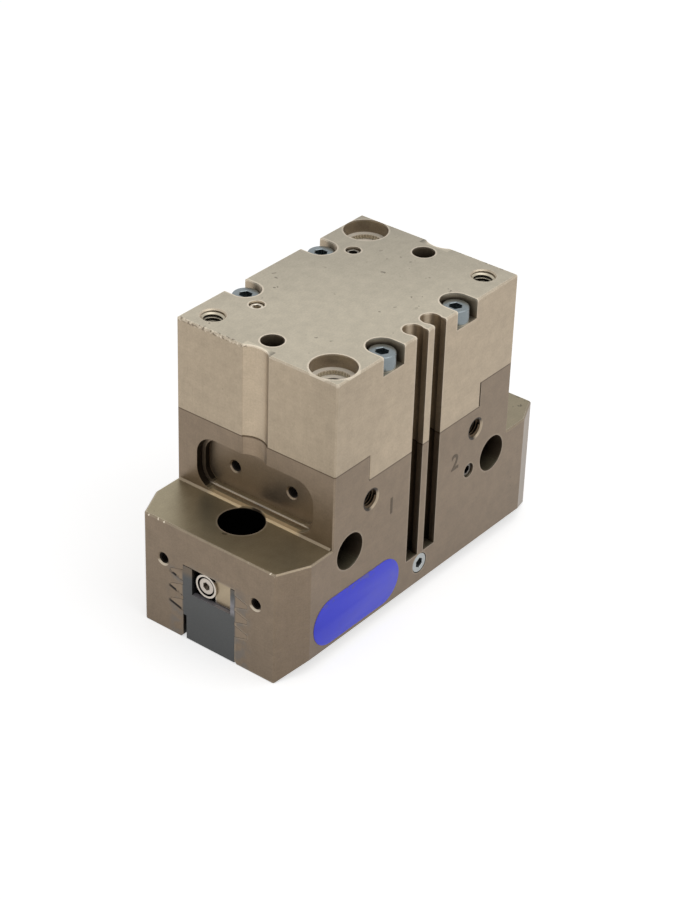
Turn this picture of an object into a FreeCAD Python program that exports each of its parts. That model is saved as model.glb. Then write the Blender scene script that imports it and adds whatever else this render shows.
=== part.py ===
"""Two-jaw pneumatic parallel gripper with wedge hook drive and closing springs, in millimetres.

X runs along the jaw travel, Y across the body and Z up to the mounting flange. The origin is the
middle of the bottom face. The jaws are closed, with their ends flush with the housing.
"""
import FreeCAD, Part
import math
import operator
import os

import Sketcher
from FreeCAD import Placement, Rotation, Vector

# Driving dimensions: sheet alias, millimetres, meaning
SIZES = [
    ("block_length", 106.5, "lower housing block, end to end"),
    ("body_width", 50.0, "housing and cover, side to side"),
    ("tower_length", 72.6, "upper housing and cover, end to end"),
    ("shoulder_wall", 10.1, "metal over the jaw channel at the shoulders"),
    ("web_thickness", 4.9, "metal between jaw channel and cylinder"),
    ("tab_rise", 7.1, "end tabs of the housing above the middle of its parting face"),
    ("cover_height", 25.4, "spring cover above the end tabs"),
    ("step_length", 45.6, "lower middle stretch of the parting face"),
    ("corner_run", 8.8, "upright corner chamfer of the block, along X"),
    ("corner_depth", 4.0, "upright corner chamfer of the block, along Y"),
    ("bottom_bevel", 4.0, "bevel along the long bottom edges"),
    ("edge_break", 0.35, "small chamfer on outer edges"),
    ("foot_bevel", 0.5, "small bevel where the tower stands on the shoulders"),
    ("jaw_floor", 0.15, "jaw face above the bottom face"),
    ("jaw_height", 21.75, "base jaw, bottom to top"),
    ("jaw_top_gap", 0.2, "gap over the base jaw"),
    ("core_width", 16.6, "base jaw between its teeth"),
    ("tooth_depth", 4.1, "guide teeth, root to tip"),
    ("tooth_pitch", 4.5, "guide teeth, middle to middle"),
    ("tooth_tip", 1.0, "guide tooth at its tip"),
    ("tooth_root", 3.4, "guide tooth at its root"),
    ("first_tooth", 9.8, "middle of the lowest tooth above the bottom face"),
    ("guide_gap", 0.06, "running gap of the jaw guides"),
    ("skirt_relief", 1.0, "jaw side below the teeth, set in from the core"),
    ("slot_chamfer", 0.8, "chamfer at the mouth of the jaw channel"),
    ("jaw_stroke", 8.0, "travel of each jaw"),
    ("piston_stroke", 10.0, "travel of the piston"),
    ("rod_diameter", 12.0, "piston rod"),
    ("rod_room", 0.6, "inner end of a closed jaw from the rod"),
    ("hook_width", 13.4, "wedge hook across the body"),
    ("rail_neck", 6.0, "neck of the hook's T rails"),
    ("rail_head", 10.6, "head of the hook's T rails"),
    ("neck_run", 2.5, "neck of a T rail along X"),
    ("head_run", 3.2, "head of a T rail along X"),
    ("hook_gap", 0.06, "running gap between hook and jaws"),
    ("hook_end_gap", 0.3, "room above and below the hook at its stops"),
    ("plate_thickness", 2.0, "bottom cover plate"),
    ("plate_recess", 0.3, "bottom cover plate above the bottom face"),
    ("plate_width", 30.0, "bottom cover plate across the body"),
    ("plate_gap", 0.4, "bottom cover plate from the jaws and its pocket"),
    ("plate_screw_x", 30.0, "bottom cover screws, spacing along X"),
    ("plate_screw_y", 22.4, "bottom cover screws, spacing along Y"),
    ("plate_screw_length", 6.0, "bottom cover screws, head included"),
    ("plate_screw_thread", 3.0, "bottom cover screw thread"),
    ("plate_screw_head", 5.5, "bottom cover screw head"),
    ("plate_screw_head_height", 1.3, "bottom cover screw head along Z"),
    ("step_rim", 0.5, "cover seal from the ends of the lower middle stretch"),
    ("slot_rim", 0.5, "cover seal from the switch slots"),
    ("piston_thickness", 8.8, "piston plate"),
    ("piston_gap", 0.05, "running gap round the piston"),
    ("stop_gap", 0.15, "room below and above the piston at its stops"),
    ("seal_height", 2.4, "piston seal along Z"),
    ("seal_depth", 2.2, "piston seal across its section"),
    ("magnet_diameter", 5.0, "switching magnet"),
    ("magnet_height", 4.0, "switching magnet"),
    ("magnet_inset", 5.4, "switching magnet from the piston's side"),
    ("bolt_diameter", 6.0, "bolt between piston and hook"),
    ("bolt_head", 10.0, "head of that bolt"),
    ("bolt_head_height", 6.0, "head of that bolt along Z"),
    ("bolt_tip_room", 2.4, "bolt tip above the underside of the hook"),
    ("bush_diameter", 16.0, "rod bush and rod seal, outside"),
    ("bush_height", 2.1, "rod bush along Z"),
    ("rod_seal_height", 2.0, "rod seal along Z"),
    ("rod_gap", 0.04, "running gap round the rod"),
    ("spring_spacing", 25.0, "closing springs, middle to middle"),
    ("spring_diameter", 11.0, "closing spring, outside"),
    ("spring_wire", 1.6, "closing spring wire"),
    ("spring_turns", 6.0, "turns of a closing spring"),
    ("spring_room", 0.5, "closing spring to its bore"),
    ("spring_seat", 2.0, "spring seat sunk into the piston"),
    ("spring_roof", 6.6, "cover metal over the springs"),
    ("gasket_width", 1.5, "cover seal across its section"),
    ("gasket_height", 1.2, "cover seal along Z"),
    ("gasket_offset", 0.8, "cover seal from the cylinder's edge"),
    ("pin_diameter", 4.0, "locating pins between housing and cover"),
    ("pin_length", 10.0, "locating pins"),
    ("pin_spacing", 55.0, "locating pins along X"),
    ("cover_screw", 4.0, "cover screw thread"),
    ("cover_screw_head", 7.0, "cover screw head"),
    ("cover_screw_head_height", 4.0, "cover screw head along Z"),
    ("cover_screw_sink", 1.3, "cover screw head below the flange"),
    ("cover_screw_length", 35.0, "cover screw under its head"),
    ("cover_screw_x", 29.6, "cover screws, spacing along X"),
    ("cover_screw_inset", 3.7, "cover screws from the side faces"),
    ("screw_pocket", 8.2, "pocket round a cover screw head"),
    ("flange_hole_x", 60.0, "flange holes, spacing along X"),
    ("flange_hole_inset", 6.3, "flange holes from the side faces"),
    ("flange_thread", 6.0, "flange thread"),
    ("flange_thread_depth", 15.0, "flange thread depth"),
    ("sleeve_seat", 11.8, "seat for a centring sleeve"),
    ("sleeve_seat_depth", 3.6, "seat for a centring sleeve, depth"),
    ("sleeve_ledge", 9.2, "step below the sleeve seat"),
    ("sleeve_ledge_depth", 1.2, "step below the sleeve seat, depth"),
    ("dowel_hole", 6.0, "dowel holes in the flange"),
    ("dowel_depth", 9.0, "dowel holes in the flange, depth"),
    ("countersink", 0.35, "countersink at threaded holes"),
    ("air_plug", 3.9, "plugs of the flange air ports"),
    ("air_plug_length", 4.0, "plugs of the flange air ports, length"),
    ("air_plug_sink", 0.5, "plugs below their faces"),
    ("air_plug_x", 38.0, "flange air ports, spacing along X"),
    ("air_plug_y", 14.2, "flange air ports from the middle, along Y"),
    ("switch_slot_pitch", 7.15, "switch slots, middle to middle"),
    ("switch_slot_bore", 5.4, "switch slot, round part"),
    ("switch_slot_neck", 4.6, "switch slot at the side face"),
    ("switch_slot_inset", 3.0, "round part of a switch slot from the side face"),
    ("switch_slot_floor", 12.9, "lower end of the switch slots"),
    ("port_thread", 5.0, "air port thread"),
    ("port_depth", 9.0, "air port thread depth"),
    ("port_spacing", 43.3, "air ports along X"),
    ("port_drop", 6.2, "air ports below the parting face"),
    ("duct_diameter", 2.2, "air ducts"),
    ("duct_reach", 11.0, "slanted air duct from its port to the cylinder"),
    ("duct_plug_x", 19.7, "duct plug along X"),
    ("duct_rise", 1.2, "lower air duct above the cylinder floor"),
    ("cross_hole_spacing", 59.2, "lateral mounting holes along X"),
    ("cross_hole_rise", 6.65, "lateral mounting holes above the jaw channel"),
    ("cross_hole_seat", 10.0, "screw head seat of a lateral mounting hole"),
    ("cross_hole_seat_depth", 8.0, "screw head seat of a lateral mounting hole, depth"),
    ("cross_hole", 6.6, "lateral mounting hole"),
    ("sensor_bore", 12.0, "upright proximity switch bores"),
    ("cover_flute", 12.4, "relief in the cover above the switch bores"),
    ("sensor_offset", 4.6, "proximity switch bores from the tower ends"),
    ("bracket_width", 37.2, "bracket pocket across the body"),
    ("bracket_height", 15.2, "bracket pocket along Z"),
    ("bracket_lip", 0.6, "bracket pocket above the shoulder"),
    ("bracket_radius", 5.6, "bracket pocket corners"),
    ("bracket_depth", 2.0, "bracket pocket, outer step"),
    ("bracket_inset", 1.1, "bracket pocket, ledge"),
    ("bracket_floor", 1.6, "bracket pocket, inner step"),
    ("bracket_thread", 3.0, "bracket threads"),
    ("bracket_thread_depth", 6.0, "bracket thread depth"),
    ("bracket_thread_spacing", 18.2, "bracket threads along Y"),
    ("end_thread", 3.0, "threads in the end faces"),
    ("end_thread_depth", 7.0, "threads in the end faces, depth"),
    ("end_thread_spacing", 29.8, "threads in the end faces along Y"),
    ("end_thread_height", 20.9, "threads in the end faces above the bottom"),
    ("grease_screw_height", 9.6, "grease screw above the bottom"),
    ("grease_screw_head", 5.5, "grease screw head"),
    ("grease_screw_head_height", 3.0, "grease screw head along Y"),
    ("grease_screw_thread", 3.0, "grease screw thread"),
    ("grease_screw_length", 5.0, "grease screw under its head"),
    ("tip_room", 0.8, "room past the tip of a screw in its hole"),
    ("small_gap", 0.05, "plain clearance round screws, pins and seals"),
    ("finger_thread", 5.0, "finger threads in the jaws"),
    ("finger_thread_depth", 9.0, "finger threads in the jaws, depth"),
    ("finger_sleeve", 7.0, "centring seats at the finger threads"),
    ("finger_sleeve_depth", 2.5, "centring seats at the finger threads, depth"),
    ("finger_spacing", 12.0, "finger threads along X"),
    ("finger_inset", 5.8, "outer finger thread from the jaw end"),
    ("cam_channel_width", 12.4, "channel for the switching cam"),
    ("cam_channel_depth", 7.7, "channel for the switching cam, below the jaw top"),
    ("cam_channel_length", 14.8, "channel for the switching cam, from the jaw end"),
    ("cam_channel_offset", 0.8, "middle of the cam channel beside the jaw's middle, along Y"),
    ("cam_reach", 6.8, "straight end of the switching cam from the middle, along Y"),
    ("cam_height", 7.3, "bar of the switching cam along Z"),
    ("cam_boss", 6.5, "round screw end of the switching cam"),
    ("cam_neck", 2.6, "bar of the switching cam from its screw, along Y"),
    ("cam_length", 13.5, "switching cam along X"),
    ("cam_setback", 1.2, "switching cam behind the jaw end"),
    ("cam_rest", 0.2, "switching cam above its channel floor"),
    ("cam_boss_height", 0.6, "round screw end of the switching cam, proud of its bar"),
    ("cam_screw_offset", 1.35, "cam screw from the middle, along Y"),
    ("cam_screw_drop", 3.6, "cam screw below the jaw top"),
    ("cam_screw_recess", 5.4, "recess round the cam screw's head"),
    ("cam_screw_head", 4.5, "cam screw head"),
    ("cam_screw_head_height", 2.4, "cam screw head along X"),
    ("cam_screw_thread", 2.5, "cam screw thread"),
    ("cam_screw_length", 18.0, "cam screw under its head"),
]

TOOTH_COUNT = 3
SCREW_SOCKET = 0.43
PLUG_SOCKET = 0.5
DUCT_SLANT = -45
FULL_TAPER = -44.9
HEAD_TAPER = -42
OPERATIONS = {"+": operator.add, "-": operator.sub, "*": operator.mul, "/": operator.truediv}
HEX_CORNER = 1 / math.sqrt(3)
ENDS = (("front", -1), ("rear", 1))
BOTH = (-1, 1)
OVERCUT = 1.0

doc = FreeCAD.newDocument("parallel_gripper")
sheet = doc.addObject("Spreadsheet::Sheet", "dims")


class Size:
    """A length that knows both its number and the sheet expression that drives it."""

    def __init__(self, text, number):
        self.text = text
        self.number = number

    def __add__(self, other):
        return combine(self, "+", other)

    def __radd__(self, other):
        return combine(other, "+", self)

    def __sub__(self, other):
        return combine(self, "-", other)

    def __rsub__(self, other):
        return combine(other, "-", self)

    def __mul__(self, other):
        return combine(self, "*", other)

    def __rmul__(self, other):
        return combine(other, "*", self)

    def __truediv__(self, other):
        return combine(self, "/", other)

    def __neg__(self):
        return combine(0, "-", self)


def as_size(value):
    return value if isinstance(value, Size) else Size(repr(value), value)


def combine(first, sign, second):
    first, second = as_size(first), as_size(second)
    return Size(f"({first.text} {sign} {second.text})", OPERATIONS[sign](first.number, second.number))


class Sizes:
    """The sheet's cells by alias."""


def fill_sheet():
    """Writes the driving dimensions into the sheet and returns them by name."""
    cells = Sizes()
    for row, (alias, number, meaning) in enumerate(SIZES, start=1):
        sheet.set(f"A{row}", meaning)
        sheet.set(f"B{row}", str(number))
        sheet.setAlias(f"B{row}", alias)
        setattr(cells, alias, Size(f"dims.{alias}", number))
    doc.recompute()
    return cells


d = fill_sheet()


class Piece:
    """A body of the document with short calls for its sketches and features."""

    def __init__(self, label):
        self.body = doc.addObject("PartDesign::Body", label)
        self.body.Label = label

    def sketch(self, plane, level=0):
        return Drawing(self.body, plane, as_size(level))

    def feature(self, kind, drawing, length, reverse, symmetric):
        made = self.body.newObject(f"PartDesign::{kind}", kind)
        made.Profile = drawing.sketch
        if length is None:
            made.Type = "ThroughAll"
        else:
            made.setExpression("Length", as_size(length).text)
        made.Reversed = reverse
        made.SideType = "Symmetric" if symmetric else "One side"
        return made

    def pad(self, drawing, length, reverse=False, symmetric=False):
        return self.feature("Pad", drawing, length, reverse, symmetric)

    def pocket(self, drawing, length=None, reverse=False, symmetric=False):
        return self.feature("Pocket", drawing, length, reverse, symmetric)

    def chamfer(self, size, chosen):
        """Chamfers the edges of the present shape that the test chosen picks."""
        doc.recompute()
        tip = self.body.Tip
        names = [f"Edge{number}" for number, edge in enumerate(tip.Shape.Edges, start=1) if chosen(edge)]
        made = self.body.newObject("PartDesign::Chamfer", "Chamfer")
        made.Base = (tip, names)
        made.setExpression("Size", size.text)
        return made


class Drawing:
    """A sketch on one of its body's origin planes, with every point set by sheet expressions."""

    def __init__(self, body, plane, level):
        self.sketch = body.newObject("Sketcher::SketchObject", "Sketch")
        origin = [item for item in body.Origin.OriginFeatures if item.Role == f"{plane}_Plane"]
        self.sketch.AttachmentSupport = [(origin[0], "")]
        self.sketch.MapMode = "FlatFace"
        self.sketch.setExpression("AttachmentOffset.Base.z", level.text)

    def turn(self, x, y, angle):
        """Moves the sketch's origin to a point of its plane and swings it about the second axis there."""
        self.sketch.AttachmentOffset = Placement(Vector(), Rotation(Vector(0, 1, 0), angle))
        self.sketch.setExpression("AttachmentOffset.Base.x", x.text)
        self.sketch.setExpression("AttachmentOffset.Base.y", y.text)

    def limit(self, kind, size, *targets):
        size = as_size(size)
        index = self.sketch.addConstraint(Sketcher.Constraint(kind, *targets, size.number))
        self.sketch.setExpression(f"Constraints[{index}]", size.text)

    def fix(self, edge, point, x, y):
        self.limit("DistanceX", x, -1, 1, edge, point)
        self.limit("DistanceY", y, -1, 1, edge, point)

    def join(self, first, first_point, second, second_point):
        self.sketch.addConstraint(Sketcher.Constraint("Coincident", first, first_point, second, second_point))

    def line(self, start, end):
        ends = [Vector(as_size(x).number, as_size(y).number, 0) for x, y in (start, end)]
        return self.sketch.addGeometry(Part.LineSegment(*ends))

    def arc(self, centre, radius, start, end):
        """An arc anticlockwise between two angles in degrees, both multiples of 90."""
        x, y = (as_size(value) for value in centre)
        circle = Part.Circle(Vector(x.number, y.number, 0), Vector(0, 0, 1), as_size(radius).number)
        made = self.sketch.addGeometry(Part.ArcOfCircle(circle, math.radians(start), math.radians(end)))
        self.fix(made, 3, x, y)
        self.limit("Radius", radius, made)
        for point, angle in ((1, start), (2, end)):
            upright = angle % 180 == 90
            self.limit("DistanceX" if upright else "DistanceY", x if upright else y, -1, 1, made, point)
        return made

    def circle(self, x, y, diameter):
        centre = Vector(as_size(x).number, as_size(y).number, 0)
        radius = as_size(diameter) / 2
        made = self.sketch.addGeometry(Part.Circle(centre, Vector(0, 0, 1), radius.number))
        self.fix(made, 3, x, y)
        self.limit("Radius", radius, made)
        return self

    def polygon(self, corners):
        edges = [self.line(start, end) for start, end in zip(corners, corners[1:] + corners[:1])]
        for edge, after, (x, y) in zip(edges, edges[1:] + edges[:1], corners):
            self.join(edge, 2, after, 1)
            self.fix(edge, 1, x, y)
        return self

    def rectangle(self, x_low, x_high, y_low, y_high):
        return self.polygon([(x_low, y_low), (x_high, y_low), (x_high, y_high), (x_low, y_high)])

    def hexagon(self, x, y, across_flats):
        corner = as_size(across_flats) * HEX_CORNER
        turns = [math.radians(60 * step) for step in range(6)]
        return self.polygon([(x + corner * round(math.cos(turn), 6), y + corner * round(math.sin(turn), 6))
                             for turn in turns])

    def loop(self, arcs):
        """Joins arcs, in order, with straight lines."""
        for first, second in zip(arcs, arcs[1:] + arcs[:1]):
            ends = [self.sketch.getPoint(first, 2), self.sketch.getPoint(second, 1)]
            edge = self.sketch.addGeometry(Part.LineSegment(*ends))
            self.join(edge, 1, first, 2)
            self.join(edge, 2, second, 1)
        return self

    def stadium(self, length, width):
        """An oval along the sketch's first axis, about its origin."""
        centre = (as_size(length) - width) / 2
        radius = as_size(width) / 2
        return self.loop([self.arc((centre, 0), radius, -90, 90), self.arc((-centre, 0), radius, 90, 270)])

    def rounded(self, x_low, x_high, y_low, y_high, radius):
        """A rectangle with round corners."""
        corners = [(x_high - radius, y_low + radius, -90), (x_high - radius, y_high - radius, 0),
                   (x_low + radius, y_high - radius, 90), (x_low + radius, y_low + radius, 180)]
        return self.loop([self.arc((x, y), radius, turn, turn + 90) for x, y, turn in corners])


# Levels above the bottom face, from the jaws up to the flange
jaw_top = d.jaw_floor + d.jaw_height
channel_top = jaw_top + d.jaw_top_gap
shoulder = channel_top + d.shoulder_wall
cylinder_floor = channel_top + d.web_thickness
piston_bottom = cylinder_floor + d.stop_gap
piston_top = piston_bottom + d.piston_thickness
step_level = piston_top + d.piston_stroke + d.stop_gap
parting = step_level + d.tab_rise
flange = parting + d.cover_height
plate_top = d.plate_recess + d.plate_thickness
hook_bottom = plate_top + d.hook_end_gap
hook_top = channel_top - d.piston_stroke - d.hook_end_gap
bush_seat = cylinder_floor - d.bush_height - d.rod_seal_height
screw_floor = flange - d.cover_screw_sink - d.cover_screw_head_height
spring_bore = d.spring_diameter + 2 * d.spring_room
spring_floor = piston_top - d.spring_seat
spring_roof_level = flange - d.spring_roof
port_level = step_level - d.port_drop
duct_level = cylinder_floor + d.duct_rise
cross_hole_level = channel_top + d.cross_hole_rise
bracket_bottom = shoulder + d.bracket_lip
bracket_top = bracket_bottom + d.bracket_height
cam_bottom = jaw_top - d.cam_channel_depth + d.cam_rest
cam_screw_level = jaw_top - d.cam_screw_drop

# Distances from the middle
half_block = d.block_length / 2
half_tower = d.tower_length / 2
half_width = d.body_width / 2
half_step = d.step_length / 2
cover_screw_y = d.body_width - 2 * d.cover_screw_inset
sensor_x = half_tower + d.sensor_offset
cam_face = half_block - d.cam_setback
cam_screw_seat = cam_face + d.cam_boss_height - d.cam_screw_head_height - d.small_gap
slot_y = d.switch_slot_inset - half_width
seal_room = d.gasket_offset + d.gasket_width
bore_length = d.step_length - 2 * (d.step_rim + seal_room)
bore_width = -2 * slot_y - d.switch_slot_bore - 2 * (d.slot_rim + seal_room)
gasket_length = bore_length + 2 * d.gasket_offset
gasket_span = bore_width + 2 * d.gasket_offset
wedge_slope = d.jaw_stroke / d.piston_stroke
jaw_inner_top = d.rod_diameter / 2 + d.rod_room


def wedge_face(level):
    """Inner end of a closed jaw, from the middle, at a level: the jaw is shortest at its foot."""
    return jaw_inner_top + wedge_slope * (jaw_top - level)


plate_half = wedge_face(plate_top) - d.plate_gap


def four(x_span, y_span):
    """The four places that lie at half of each span from the middle."""
    return [(x * x_span / 2, y * y_span / 2) for x in BOTH for y in BOTH]


def corner_holes(diagonal):
    """Two flange holes on one diagonal: 1 joins like signs of X and Y, -1 unlike ones."""
    return [(x * d.flange_hole_x / 2, x * diagonal * (half_width - d.flange_hole_inset)) for x in BOTH]


def bore(piece, plane, level, places, diameter, depth, reverse=False):
    """Drills round holes of one size from a level of a plane, against its normal unless reversed."""
    drawing = piece.sketch(plane, level)
    for x, y in places:
        drawing.circle(x, y, diameter)
    return piece.pocket(drawing, depth, reverse)


def threaded_bore(piece, plane, level, places, diameter, depth, reverse=False):
    """A tapped hole at its outside diameter, with a short countersink."""
    bore(piece, plane, level, places, diameter, depth, reverse)
    lead = bore(piece, plane, level, places, diameter + 2 * d.countersink, d.countersink, reverse)
    lead.TaperAngle = FULL_TAPER
    return lead


def cut_switch_slots(piece, top, depth):
    """Cuts the two keyhole slots for magnetic switches down the -Y side from a level."""
    places = [(side * d.switch_slot_pitch / 2, slot_y) for side in BOTH]
    bore(piece, "XY", top, places, d.switch_slot_bore, depth)
    neck = piece.sketch("XZ", half_width)
    for x, _ in places:
        half_neck = d.switch_slot_neck / 2
        neck.rectangle(x - half_neck, x + half_neck, top - depth, top)
    piece.pocket(neck, d.switch_slot_inset)


def tower_outline(drawing, far):
    """Side view of a piece between the stepped parting face and a flat level above or below it."""
    steps = [(half_tower, parting), (half_step, parting), (half_step, step_level),
             (-half_step, step_level), (-half_step, parting), (-half_tower, parting)]
    return drawing.polygon(steps + [(-half_tower, far), (half_tower, far)])


def channel_outline(drawing, gap, floor, top):
    """Cross section of the jaw core with its guide teeth, grown by a gap."""
    root = d.core_width / 2 + gap
    tip = root + d.tooth_depth
    side = []
    for number in range(TOOTH_COUNT):
        middle = d.first_tooth + number * d.tooth_pitch
        half_root, half_tip = d.tooth_root / 2 + gap, d.tooth_tip / 2 + gap
        side += [(root, middle - half_root), (tip, middle - half_tip),
                 (tip, middle + half_tip), (root, middle + half_root)]
    right = [(root, floor)] + side + [(root, top)]
    return drawing.polygon(right + [(-x, z) for x, z in reversed(right)])


def near(number, size):
    return abs(number - size.number) < 0.01


def along(edge, axis):
    """True for a straight edge that runs along an axis."""
    return edge.Curve.TypeId == "Part::GeomLine" and abs(edge.Curve.Direction.dot(axis)) > 0.9999


def make_lower_housing():
    """Aluminium housing: octagonal block with the jaw channel, tower with the oval cylinder."""
    piece = Piece("lower_housing")
    run, depth = half_block - d.corner_run, half_width - d.corner_depth
    quarter = [(half_block, depth), (run, half_width)]
    plan = quarter + [(-x, y) for x, y in reversed(quarter)]
    plan += [(-x, -y) for x, y in plan]
    piece.pad(piece.sketch("XY").polygon(plan), shoulder)
    piece.pad(tower_outline(piece.sketch("XZ"), channel_top), d.body_width, symmetric=True)
    foot = piece.sketch("XZ")
    for side in BOTH:
        foot.polygon([(side * half_tower, shoulder), (side * (half_tower + d.foot_bevel), shoulder),
                      (side * half_tower, shoulder + d.foot_bevel)])
    piece.pad(foot, d.body_width - 4 * d.edge_break, symmetric=True)
    bevels = piece.sketch("YZ")
    for side in BOTH:
        bevels.polygon([(side * half_width, 0), (side * half_width, d.bottom_bevel),
                        (side * (half_width - d.bottom_bevel), 0)])
    piece.pocket(bevels, symmetric=True)
    doc.recompute()
    piece.pocket(channel_outline(piece.sketch("YZ"), d.guide_gap, 0, channel_top), symmetric=True)
    mouth = piece.sketch("YZ")
    edge = d.core_width / 2
    mouth.polygon([(-edge - d.slot_chamfer, 0), (edge + d.slot_chamfer, 0),
                   (edge, d.slot_chamfer), (-edge, d.slot_chamfer)])
    piece.pocket(mouth, symmetric=True)
    plate_room = plate_half + d.plate_gap / 2
    plate_side = (d.plate_width + d.plate_gap) / 2
    piece.pocket(piece.sketch("XY").rectangle(-plate_room, plate_room, -plate_side, plate_side),
                 plate_top, reverse=True)
    bore(piece, "XY", plate_top, four(d.plate_screw_x, d.plate_screw_y), d.plate_screw_thread,
         d.plate_screw_length - d.plate_thickness + d.tip_room, reverse=True)
    piece.pocket(piece.sketch("XY", step_level).stadium(bore_length, bore_width),
                 step_level - cylinder_floor)
    bore(piece, "XY", cylinder_floor, [(0, 0)], d.bush_diameter, d.bush_height + d.rod_seal_height)
    bore(piece, "XY", bush_seat, [(0, 0)], d.rod_diameter + 4 * d.rod_gap, bush_seat - channel_top)
    bore(piece, "XY", parting, [(side * sensor_x, 0) for side in BOTH], d.sensor_bore, parting - jaw_top)
    cut_bracket_pockets(piece)
    cut_switch_slots(piece, step_level, step_level - d.switch_slot_floor)
    cut_side_holes(piece)
    bore(piece, "XY", step_level, four(d.cover_screw_x, cover_screw_y), d.cover_screw,
         d.cover_screw_length - (screw_floor - step_level) + d.tip_room)
    bore(piece, "XY", parting, [(side * d.pin_spacing / 2, 0) for side in BOTH], d.pin_diameter,
         d.pin_length / 2)
    piece.chamfer(d.edge_break, lambda edge: outer_upright(edge) or on_shoulder_rim(edge))
    return piece


def outer_upright(edge):
    """True for the long upright corners of the block and of the tower."""
    if not along(edge, Vector(0, 0, 1)):
        return False
    place = edge.CenterOfMass
    on_block = near(abs(place.x), half_block) and near(abs(place.y), half_width - d.corner_depth)
    on_tower = near(abs(place.x), half_tower) and near(abs(place.y), half_width)
    return on_block or on_tower


def on_shoulder_rim(edge):
    """True for the outer edges of the shoulders, away from the tower's foot."""
    ends = [vertex.Point for vertex in edge.Vertexes]
    level = all(near(end.z, shoulder) for end in ends)
    return level and len(ends) == 2 and max(abs(end.x) for end in ends) > sensor_x.number


def cut_bracket_pockets(piece):
    """Stepped pocket with two threads for a switch bracket, in both tower walls."""
    half = d.bracket_width / 2
    inset = d.bracket_inset
    back = half_tower - d.bracket_depth - d.bracket_floor
    threads = [(side * d.bracket_thread_spacing / 2, (bracket_bottom + bracket_top) / 2) for side in BOTH]
    for _, side in ENDS:
        outer = piece.sketch("YZ", side * half_tower)
        outer.rounded(-half, half, bracket_bottom, bracket_top, d.bracket_radius)
        piece.pocket(outer, d.bracket_depth, reverse=side < 0)
        inner = piece.sketch("YZ", side * half_tower)
        inner.rounded(inset - half, half - inset, bracket_bottom + inset, bracket_top - inset,
                      d.bracket_radius - inset)
        piece.pocket(inner, d.bracket_depth + d.bracket_floor, reverse=side < 0)
        threaded_bore(piece, "YZ", side * back, threads, d.bracket_thread, d.bracket_thread_depth, side < 0)
        ends = [(row * d.end_thread_spacing / 2, d.end_thread_height) for row in BOTH]
        threaded_bore(piece, "YZ", side * half_block, ends, d.end_thread, d.end_thread_depth, side < 0)


def cut_side_holes(piece):
    """Air ports, ducts, lateral mounting holes and the grease screw's seat."""
    ports = [(side * d.port_spacing / 2, port_level) for side in BOTH]
    threaded_bore(piece, "XZ", half_width, ports, d.port_thread, d.port_depth)
    slant = piece.sketch("XZ", half_width - d.port_depth + d.duct_diameter / 2)
    slant.turn(-d.port_spacing / 2, port_level, DUCT_SLANT)
    piece.pocket(slant.circle(0, 0, d.duct_diameter), d.duct_reach)
    bore(piece, "XZ", half_width, [(d.duct_plug_x, duct_level)], d.duct_diameter, half_width)
    bore(piece, "XZ", half_width, [(d.duct_plug_x, duct_level)], d.air_plug + 2 * d.small_gap,
         d.air_plug_length + d.air_plug_sink)
    feed = (d.duct_plug_x + d.port_spacing / 2) / 2
    bore(piece, "XY", port_level, [(feed, d.port_depth / 2 - half_width)], d.duct_diameter,
         port_level - duct_level)
    cross = [(side * d.cross_hole_spacing / 2, cross_hole_level) for side in BOTH]
    drawing = piece.sketch("XZ")
    for x, z in cross:
        drawing.circle(x, z, d.cross_hole)
    piece.pocket(drawing, symmetric=True)
    for side in BOTH:
        bore(piece, "XZ", side * half_width, cross, d.cross_hole_seat, d.cross_hole_seat_depth, side < 0)
    grease = [(0, d.grease_screw_height)]
    bore(piece, "XZ", half_width, grease, d.grease_screw_head + 4 * d.small_gap, d.grease_screw_head_height)
    bore(piece, "XZ", half_width, grease, d.grease_screw_thread, half_width - d.core_width / 2)


def make_spring_cover():
    """Tall cover over the cylinder: spring bores, flange holes, screw pockets and switch slots."""
    piece = Piece("spring_cover")
    piece.pad(tower_outline(piece.sketch("XZ"), flange), d.body_width, symmetric=True)
    top = Vector(0, 0, 1)
    piece.chamfer(d.edge_break, lambda edge: along(edge, top) or on_flange_rim(edge))
    bore(piece, "XY", flange, [(side * sensor_x, 0) for side in BOTH], d.cover_flute, d.cover_height)
    cut_switch_slots(piece, flange, flange - step_level)
    springs = [(side * d.spring_spacing / 2, 0) for side in BOTH]
    bore(piece, "XY", step_level, springs, spring_bore, spring_roof_level - step_level, reverse=True)
    seal_groove = piece.sketch("XY", step_level)
    seal_groove.stadium(gasket_length, gasket_span)
    seal_groove.stadium(gasket_length + 2 * d.gasket_width, gasket_span + 2 * d.gasket_width)
    piece.pocket(seal_groove, d.gasket_height, reverse=True)
    bore(piece, "XY", parting, [(side * d.pin_spacing / 2, 0) for side in BOTH], d.pin_diameter,
         d.pin_length / 2 + d.small_gap, reverse=True)
    screws = four(d.cover_screw_x, cover_screw_y)
    bore(piece, "XY", flange, screws, d.screw_pocket, flange - screw_floor)
    mouths = piece.sketch("XY", flange)
    for x, y in screws:
        reach = half_width + d.edge_break if y.number > 0 else -half_width - d.edge_break
        half = d.screw_pocket / 2
        mouths.polygon([(x - half, y), (x + half, y), (x + half, reach), (x - half, reach)])
    piece.pocket(mouths, flange - screw_floor)
    bore(piece, "XY", screw_floor, screws, d.cover_screw + 4 * d.small_gap, screw_floor - step_level)
    cut_flange_holes(piece)
    return piece


def on_flange_rim(edge):
    """True for the straight outer edges of the flange face."""
    return near(edge.CenterOfMass.z, flange)


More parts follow.
